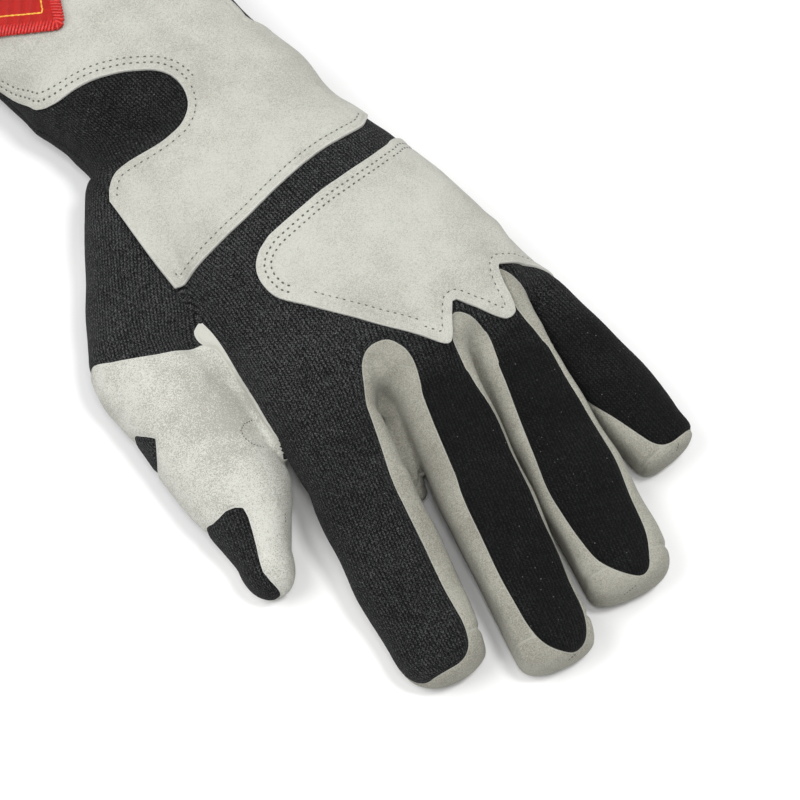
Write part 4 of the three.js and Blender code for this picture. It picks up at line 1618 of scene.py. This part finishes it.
@dataclass
class ShellStitches:
    """Short dark stitches on the shell's suede, at the fingertips and on the thumb: beads in the hole finish
    that paint the shade of the sewn groove and its holes.
    """

    glove: Glove
    pitch: float = 0.95
    bead: Bead = Bead(0.62, 0.30, 0.26, sink=0.02, rings=3)
    lines: tuple[tuple[tuple[float, float, float], ...], ...] = (
        ((31.9, -80.1, 14.8), (29.9, -80.7, 13.9), (27.5, -81, 12.1)),
        ((59.9, -48.6, 15.2), (59.4, -49.9, 14.4), (58.8, -50.6, 13.2)),
        ((9.3, -90.2, 13.4), (6, -91.2, 12)),
        ((-41.3, 2.9, 21), (-44.2, 2, 23), (-46, 0.4, 23.5), (-46, -2.1, 23.5), (-44.7, -4.3, 22.5),
         (-41.9, -5.8, 20)),
        ((-44.2, -23.6, 16), (-45.2, -26.4, 15.5)),
    )

    def build(self) -> None:
        """Lays the stitches on the skin."""
        skin = self.glove.skin
        tree = KDTree(len(skin.points))
        for number, point in enumerate(skin.points):
            tree.insert(point, number)
        tree.balance()
        groups = []
        for line in self.lines:
            row = np.array(line)
            numbers = [tree.find(point)[1] for point in row]
            groups.append(spaced(row, skin.normals[numbers], self.pitch))
        places, directions, normals = (np.vstack([group[k] for group in groups]) for k in range(3))
        for i, place in enumerate(places):
            number = tree.find(place)[1]
            normals[i] = skin.normals[number]
            places[i] -= normals[i] * ((place - skin.points[number]) @ normals[i])
        directions -= normals * (directions * normals).sum(1, keepdims=True)
        directions /= np.linalg.norm(directions, axis=1, keepdims=True)
        points, faces = strewn(self.bead, places, directions, normals)
        # The beads wear the dark hole finish: painted shade.
        thing = make_object("shell_stitch_shade", points, faces, {}, self.glove.wardrobe.hole_shade)
        self.glove.attach(thing, Finish.SUEDE)


@dataclass(frozen=True)
class Seam:
    """A row of stitches along the edge of a piece, or a groove pressed beside it if its pitch is 0."""

    inset: float                         # distance from the edge
    pitch: float
    zone: tuple[tuple[float, float], ...]  # plan area in which it runs
    holes: bool = False                  # round holes without a visible thread, drawn as dark discs of painted shade
    shift: float = 0.0
    depth: float = 0.26
    width: float = 0.5

    def share(self, points: Array) -> Array:
        """1 where the seam runs and 0 elsewhere, with a soft step."""
        return smooth_step(-1.0, 1.0, inside_distance(np.array(self.zone), points))


@dataclass
class SewnOn:
    """A piece of suede laid over the knit and sewn down near its edge."""

    glove: Glove
    name: str
    node: str
    outline: Array
    seams: tuple[Seam, ...]
    thickness: float
    pad: float = 0.0                     # how far its middle stands up
    pad_start: float = 3.0               # distance from the edge where the middle starts to rise
    lift: float = 0.12                   # bottom side over the knit
    edge_radius: float = 0.35
    side_thinning: float = 0.4           # how much thinner it is where it ends at the glove's side
    low: float = SIDE_SEAM_Z + 0.3
    rim_lines: tuple[float, ...] = (0.08, 0.2, 0.36)   # lines added on the rounded rim
    line_spacing: float = 0.15           # least distance between two lines added for the relief
    groove_half: float = 0.45            # from a groove's middle to the lines beside it
    shortest_row: float = 6.0
    side_zone: tuple[float, float] = (17.5, 25.0)      # heights between which it gets its whole thickness
    pad_zone: tuple[float, float] = (22.0, 30.0)       # heights between which its padding starts
    pad_slope: float = 5.0               # length over which its middle rises
    stitch: Bead = Bead(1.15, 0.30, 0.30, sink=0.06)
    # The two dark beads below paint the shade of the dips between stitches and of the needle holes.
    gap_shade: Bead = Bead(0.85, 0.46, 0.20, sink=0.0, rings=3)
    hole_shade: Bead = Bead(0.84, 0.74, 0.20, sink=0.0, sides=8, rings=3)

    def skin(self) -> Skin:
        """The part of the glove's skin that the piece lies on.

        Returns:
            The skin, with lines for its relief.
        """
        skin = self.glove.skin
        plan = inside_distance(self.outline, skin.points)
        skin.marks["own"] = np.minimum(plan, skin.points[:, 2] - self.low)
        part, _ = skin.cut("own")
        part = part.largest_part()
        part.measure_edge()
        lines = list(self.rim_lines)
        offsets = (-self.groove_half, 0.0, self.groove_half)
        for level in sorted(seam.inset + offset for seam in self.seams for offset in offsets):
            if level - lines[-1] > self.line_spacing:
                lines.append(level)
        return part.with_lines("edge", lines)

    def top(self, skin: Skin) -> Array:
        """Height of the piece's upper side over the glove's skin.

        Args:
            skin: The piece's skin.

        Returns:
            The heights.
        """
        edge = skin.marks["edge"]
        radius = self.edge_radius
        over = np.clip(edge / radius, 0, 1)
        rounded = self.lift + self.thickness - radius + radius * np.sqrt(1 - (1 - over) ** 2)
        grooves = sum(seam.depth * seam.share(skin.points) * np.exp(-((edge - seam.inset) / seam.width) ** 2)
                      for seam in self.seams)
        rise = np.clip(edge - self.pad_start, 0, None) * smooth_step(*self.pad_zone, skin.points[:, 2])
        thin = self.side_thinning * (1 - smooth_step(*self.side_zone, skin.points[:, 2]))
        return rounded - grooves - thin + self.pad * (1 - np.exp(-rise / self.pad_slope))

    def build(self, finish: Finish, material: bpy.types.Material) -> None:
        """Makes the piece and its stitches.

        Args:
            finish: The piece's slot.
            material: Its material.
        """
        skin = self.skin()
        top = self.top(skin)
        skin.marks = {"edge": skin.marks["edge"]}
        points, faces, marks = thickened(skin, top, np.full(len(top), self.lift))
        thing = make_object(self.name, points, faces, marks, material)
        self.glove.attach(thing, finish, self.node)
        raised = Skin(skin.points + skin.normals * top[:, None], skin.normals, skin.faces, skin.marks)
        self.sew(raised, finish)

    def sew(self, raised: Skin, finish: Finish) -> None:
        """Lays the rows of stitches.

        Args:
            raised: The piece's upper side.
            finish: The piece's slot.
        """
        threads, gap_shades, holes = [], [], []
        for seam in self.seams:
            if not seam.pitch:
                continue
            rows = ((holes, 0.0),) if seam.holes else ((threads, 0.5), (gap_shades, 0.0))
            for line, normals in raised.line_at("edge", seam.inset):
                if np.linalg.norm(np.diff(line, axis=0), axis=1).sum() < self.shortest_row:
                    continue
                for row, offset in rows:
                    places = spaced(line, normals, seam.pitch, seam.shift + offset * seam.pitch)
                    kept = inside_distance(np.array(seam.zone), places[0]) > 0
                    row.append(tuple(values[kept] for values in places))
        wardrobe = self.glove.wardrobe
        # The gap and hole beads wear the dark hole finish: painted shade.
        for bead, groups, name, material in (
            (self.stitch, threads, f"{self.name}_stitches", wardrobe.pale_thread),
            (self.gap_shade, gap_shades, f"{self.name}_stitch_gap_shades", wardrobe.hole_shade),
            (self.hole_shade, holes, f"{self.name}_stitch_hole_shades", wardrobe.hole_shade),
        ):
            places, directions, normals = (np.vstack([group[k] for group in groups]) for k in range(3))
            points, faces = strewn(bead, places, directions, normals)
            self.glove.attach(make_object(name, points, faces, {}, material), finish)


GUARD_HEM = ((58, 74), (35, 64), (24.5, 59.4), (21.6, 57.1), (14.6, 54.1), (6.1, 51.5), (-0.4, 49.6),
             (-7.1, 47.3),
             (-13.7, 45), (-18.9, 43.3))
GUARD_TIP = ((-22.5, 40.9), (-25.2, 37.4), (-26.1, 33.6), (-25.5, 29.6), (-23.5, 25.5))
GUARD_LOWER = ((-17.5, 20.1), (-10.7, 14), (-3.2, 8.4), (3.9, 3.3), (7.5, 0.1))
GUARD_SPIKES = ((10.3, -2.3), (12.4, -3.4), (14, -2.4), (16, 1.8), (18.1, 6.4), (18.8, 6.9), (19.9, 6.7),
                (24.7, 2.5),
                (28.9, -0.7), (30.7, -1.7), (32.9, -1.4), (33.9, -0.1), (34.1, 3), (33.9, 7.6), (34.1, 11),
                (34.7, 12.6), (35.7, 12.6))
GUARD_SIDE = ((38.2, 12.3), (41.5, 11.7), (45.5, 11), (48, 9.8), (50, 8.4), (62, 4))
OVERLAY_HEM = ((46, 104), (28, 84), (22.4, 71.5), (20.3, 67.6), (17.8, 65.3), (11.3, 63.1), (5, 61.6),
               (-1.8, 59.2), (-8.6, 56.5), (-15.6, 53.5),
               (-23.8, 50.2), (-32.5, 47.4), (-38.9, 45.6), (-43.6, 44.2))
OVERLAY_THUMB_EDGE = ((-46.6, 44), (-48.7, 52), (-50.5, 60.7), (-52, 70.5), (-52.6, 74.6))
OVERLAY_NOTCH = ((-51.3, 77.8), (-48.7, 81), (-44.7, 82.4), (-35.7, 82.4), (-30.9, 83.1), (-26.5, 84.9),
                 (-22.9, 89.1),
                 (-21.8, 94.7), (-23.1, 99.8), (-26.2, 103.1), (-30.4, 105.1), (-35.5, 107.1), (-41.1, 108.2),
                 (-47, 108.4), (-53.2, 108.3), (-57, 109.3))
OVERLAY_OUTER = ((-59.6, 111), (-65.8, 124), (-72, 140), (-82, 166))
OVERLAY_END = ((-86, 169.2), (-2, 194.4))
OVERLAY_LITTLE = ((-10, 158), (-2, 130), (2.6, 117), (8, 109), (40, 104))


def knuckle_guard(glove: Glove) -> SewnOn:
    """The padded suede over the knuckles, with its pointed front.

    Args:
        glove: The glove that it is sewn on.

    Returns:
        The guard.
    """
    front = np.vstack([spline([GUARD_HEM[-1], *GUARD_TIP, GUARD_LOWER[0]], 4)[4:-1], spline(GUARD_LOWER, 4),
                       spline(GUARD_SPIKES, 3), GUARD_SIDE])
    outline = np.vstack([spline(GUARD_HEM, 4), front])
    hem_zone = ((62, 78), (-40, 60), (-40, 23), (-24, 23), (-18, 28), (0, 38), (30, 48), (62, 60))
    lower_zone = ((-40, 25), (-24, 24), (-10, 22), (6, 10), (9, 2), (8, -8), (-40, -8))
    spike_zone = ((8, 4), (14, 6), (20, 20), (60, 20), (60, -12), (8, -12))
    seams = (Seam(2.3, 1.8, hem_zone, holes=True), Seam(4.1, 1.8, hem_zone, holes=True, shift=0.9),
             Seam(4.0, 2.0, lower_zone), Seam(1.9, 0.0, lower_zone, width=0.4, depth=0.22),
             Seam(2.7, 2.0, spike_zone))
    return SewnOn(glove, "knuckle_guard_pad", "knuckle_guard", outline, seams, thickness=0.85, pad=0.7,
                  pad_start=4.0)


def cuff_overlay(glove: Glove) -> SewnOn:
    """The suede over the back of the cuff and wrist, with its round notch.

    Args:
        glove: The glove that it is sewn on.

    Returns:
        The overlay.
    """
    outline = np.vstack([spline(OVERLAY_HEM, 4), spline(OVERLAY_THUMB_EDGE, 4), spline(OVERLAY_NOTCH, 4),
                         spline(OVERLAY_OUTER, 4), OVERLAY_END, spline(OVERLAY_LITTLE, 4)])
    hem_zone = ((64, 70), (64, 90), (24, 72), (-4, 64), (-30, 54), (-44, 50), (-50, 38), (-20, 40), (30, 60))
    side_zone = ((70, 100), (10, 100), (-5, 112), (-20, 160), (40, 160))
    end_zone = ((-100, 140), (-70, 150), (0, 178), (40, 200), (-100, 200))
    far_notch = ((-21, 97), (-44, 100), (-100, 104), (-100, 140), (-10, 140), (-10, 97))
    near_notch = ((-60, 88), (-46, 92), (-24, 96), (-10, 97), (-10, 74), (-46, 74), (-56, 76))
    seams = (Seam(1.05, 0.0, hem_zone, width=0.3, depth=0.34), Seam(2.7, 1.9, hem_zone),
             Seam(2.2, 1.9, far_notch, holes=True), Seam(4.1, 1.9, far_notch, holes=True, shift=0.95),
             Seam(2.2, 2.1, near_notch, width=0.45), Seam(2.4, 0.0, side_zone), Seam(2.6, 1.9, end_zone))
    return SewnOn(glove, "cuff_overlay_suede", "cuff_overlay", outline, seams, thickness=0.9)


def corner_rounded(line: Array, radius: float) -> Array:
    """An open line whose inner corners are cut by short curves.

    Args:
        line: Its points.
        radius: How far from a corner its curve starts.

    Returns:
        The line with three points at each inner corner.
    """
    parts = [line[:1]]
    for before, here, after in zip(line, line[1:], line[2:]):
        back, onward = before - here, after - here
        start = here + back / np.linalg.norm(back) * min(radius, np.linalg.norm(back) / 2)
        end = here + onward / np.linalg.norm(onward) * min(radius, np.linalg.norm(onward) / 2)
        parts.append(np.array([start, (start + 2 * here + end) / 4, end]))
    return np.vstack([*parts, line[-1:]])


@dataclass
class CuffPatch:
    """The bare embroidered patch on the cuff, with its overlocked border."""

    glove: Glove
    corner: tuple[float, float] = (-44.2, 125.5)
    long_side: tuple[float, float] = (8.8, 39.0)
    short_side: tuple[float, float] = (-23.4, 11.4)
    low: float = 1.5
    thickness: float = 1.1
    loop_pitch: float = 0.95
    loop: Bead = Bead(3.6, 1.05, 1.5, sink=0.25, sides=8, rings=6)
    loop_slant: float = 0.28
    border_inset: float = 1.15
    corner_radius: float = 2.5
    edge_reach: float = 12.0
    line_bead: Bead = Bead(1.7, 0.55, 0.4)
    line_pitch: float = 1.5
    line_inset: float = 4.9

    def build(self) -> None:
        """Makes the patch, its border of thread and its thin inset line."""
        corner = np.array(self.corner)
        first, second = np.array(self.long_side), np.array(self.short_side)
        square = np.array([corner, corner + first, corner + first + second, corner + second])
        closed = np.vstack([square[-1:], square, square[:1], square[1:2]])
        ring = corner_rounded(closed, self.corner_radius)[1:-4]
        skin = self.glove.skin
        skin.marks["own"] = np.minimum(inside_distance(ring, skin.points), skin.points[:, 2] - SIDE_SEAM_Z)
        part, _ = skin.cut("own")
        part = part.largest_part()
        off = part.points[:, :2] - corner
        part.marks["patch_u"] = off @ (first / np.linalg.norm(first))
        part.marks["patch_v"] = off @ (second / np.linalg.norm(second))
        part.measure_edge(self.edge_reach)
        part.marks = {key: part.marks[key] for key in ("edge", "patch_u", "patch_v")}
        top = np.full(len(part.points), self.low + self.thickness)
        points, faces, marks = thickened(part, top, np.full(len(top), self.low))
        wardrobe = self.glove.wardrobe
        thing = make_object("cuff_patch_ground", points, faces, marks, wardrobe.patch)
        self.glove.attach(thing, Finish.PATCH, "cuff_patch")
        raised = Skin(part.points + part.normals * top[:, None], part.normals, part.faces, part.marks)
        places, directions, normals = self.row(raised, self.border_inset, self.loop_pitch)
        slanted = np.cross(normals, directions) + directions * self.loop_slant
        slanted /= np.linalg.norm(slanted, axis=1, keepdims=True)
        self.lay("cuff_patch_border", self.loop, (places, slanted, normals), wardrobe.red_thread)
        row = self.row(raised, self.line_inset, self.line_pitch)
        self.lay("cuff_patch_line", self.line_bead, row, wardrobe.gold_thread)

    def row(self, raised: Skin, inset: float, pitch: float) -> Row:
        """Even places along a line round the patch.

        Args:
            raised: The patch's upper side.
            inset: The line's distance from the edge.
            pitch: Distance from place to place.

        Returns:
            The places, the directions of the line and the normals there.
        """
        groups = [spaced(line, normals, pitch) for line, normals in raised.line_at("edge", inset)]
        return tuple(np.vstack([group[k] for group in groups]) for k in range(3))

    def lay(self, name: str, bead: Bead, row: Row, material: bpy.types.Material) -> None:
        """Lays thread along a row.

        Args:
            name: The piece's name.
            bead: One stitch.
            row: The places, directions and normals.
            material: The thread's material.
        """
        points, faces = strewn(bead, *row)
        self.glove.attach(make_object(name, points, faces, {}, material), Finish.PATCH)


class Lamp(NamedTuple):
    """A round area light that shines on the glove; its power is in watts, its sizes in metres."""

    name: str
    place: tuple[float, float, float]
    size: float
    power: float


@dataclass(frozen=True)
class Studio:
    """The pale floor, the soft light and the camera."""

    target: tuple[float, float, float] = (0.0106, -0.0511, 0.0)
    azimuth_deg: float = -24.5
    elevation_deg: float = 66.0
    distance: float = 1.0
    lens_mm: float = 164.25
    sensor_mm: float = 36.0
    floor_size: float = 6.0
    floor_z: float = -0.0002             # a little below the glove, so that the two don't flicker
    floor_grey: float = 0.76
    world_strength: float = 0.52
    lamps: tuple[Lamp, ...] = (
        Lamp("left_light", (-0.8, 0.1, 1.2), 1.0, 13.0),
        Lamp("high_light", (0.3, -0.35, 1.5), 0.3, 10.0),
        Lamp("front_light", (-0.15, -0.5, 1.5), 0.3, 5.5),
        Lamp("right_light", (1.1, 0.45, 0.8), 0.8, 5.0),
    )

    def camera(self) -> None:
        """Places the camera as it stood over the glove."""
        data = bpy.data.cameras.new("camera")
        data.lens = self.lens_mm
        data.sensor_width = self.sensor_mm
        camera = bpy.data.objects.new("camera", data)
        bpy.context.scene.collection.objects.link(camera)
        azimuth, elevation = math.radians(self.azimuth_deg), math.radians(self.elevation_deg)
        back = Vector((math.sin(azimuth) * math.cos(elevation), -math.cos(azimuth) * math.cos(elevation),
                       math.sin(elevation)))
        camera.location = Vector(self.target) + back * self.distance
        camera.rotation_mode = "QUATERNION"
        camera.rotation_quaternion = (-back).to_track_quat("-Z", "Y")
        bpy.context.scene.camera = camera

    def floor(self) -> None:
        """Lays the plain pale floor."""
        half = self.floor_size / 2
        mesh = bpy.data.meshes.new("floor")
        corners = ((-half, -half), (half, -half), (half, half), (-half, half))
        mesh.from_pydata([(x, y, self.floor_z) for x, y in corners], [], [(0, 1, 2, 3)])
        sheet = NodeSheet("floor")
        grey = (self.floor_grey,) * 3
        mesh.materials.append(sheet.finish(base_color=grey, roughness=0.9, specular_ior_level=0.0))
        floor = bpy.data.objects.new("floor", mesh)
        bpy.context.scene.collection.objects.link(floor)

    def light(self) -> None:
        """Sets an even white surround and the broad lamps."""
        scene = bpy.context.scene
        world = bpy.data.worlds.new("surround")
        world.use_nodes = True
        background = world.node_tree.nodes["Background"]
        background.inputs["Color"].default_value = (1, 1, 1, 1)
        background.inputs["Strength"].default_value = self.world_strength
        scene.world = world
        for lamp in self.lamps:
            data = bpy.data.lights.new(lamp.name, "AREA")
            data.shape = "DISK"
            data.size = lamp.size
            data.energy = lamp.power
            light = bpy.data.objects.new(lamp.name, data)
            light.location = Vector(lamp.place)
            light.rotation_mode = "QUATERNION"
            light.rotation_quaternion = (Vector(self.target) - light.location).to_track_quat("-Z", "Y")
            scene.collection.objects.link(light)
        scene.view_settings.view_transform = "Standard"

    def build(self) -> None:
        """Sets the whole stage."""
        self.camera()
        self.floor()
        self.light()


def main() -> None:
    """Builds the glove and its stage."""
    logging.basicConfig(level=logging.INFO, format="%(name)s: %(message)s")
    Studio().build()
    glove = Glove()
    Shell(glove).build()
    ShellStitches(glove).build()
    knuckle_guard(glove).build(Finish.OVERLAY, glove.wardrobe.overlay)
    cuff_overlay(glove).build(Finish.OVERLAY, glove.wardrobe.overlay)
    CuffPatch(glove).build()


if __name__ == "__main__":
    main()
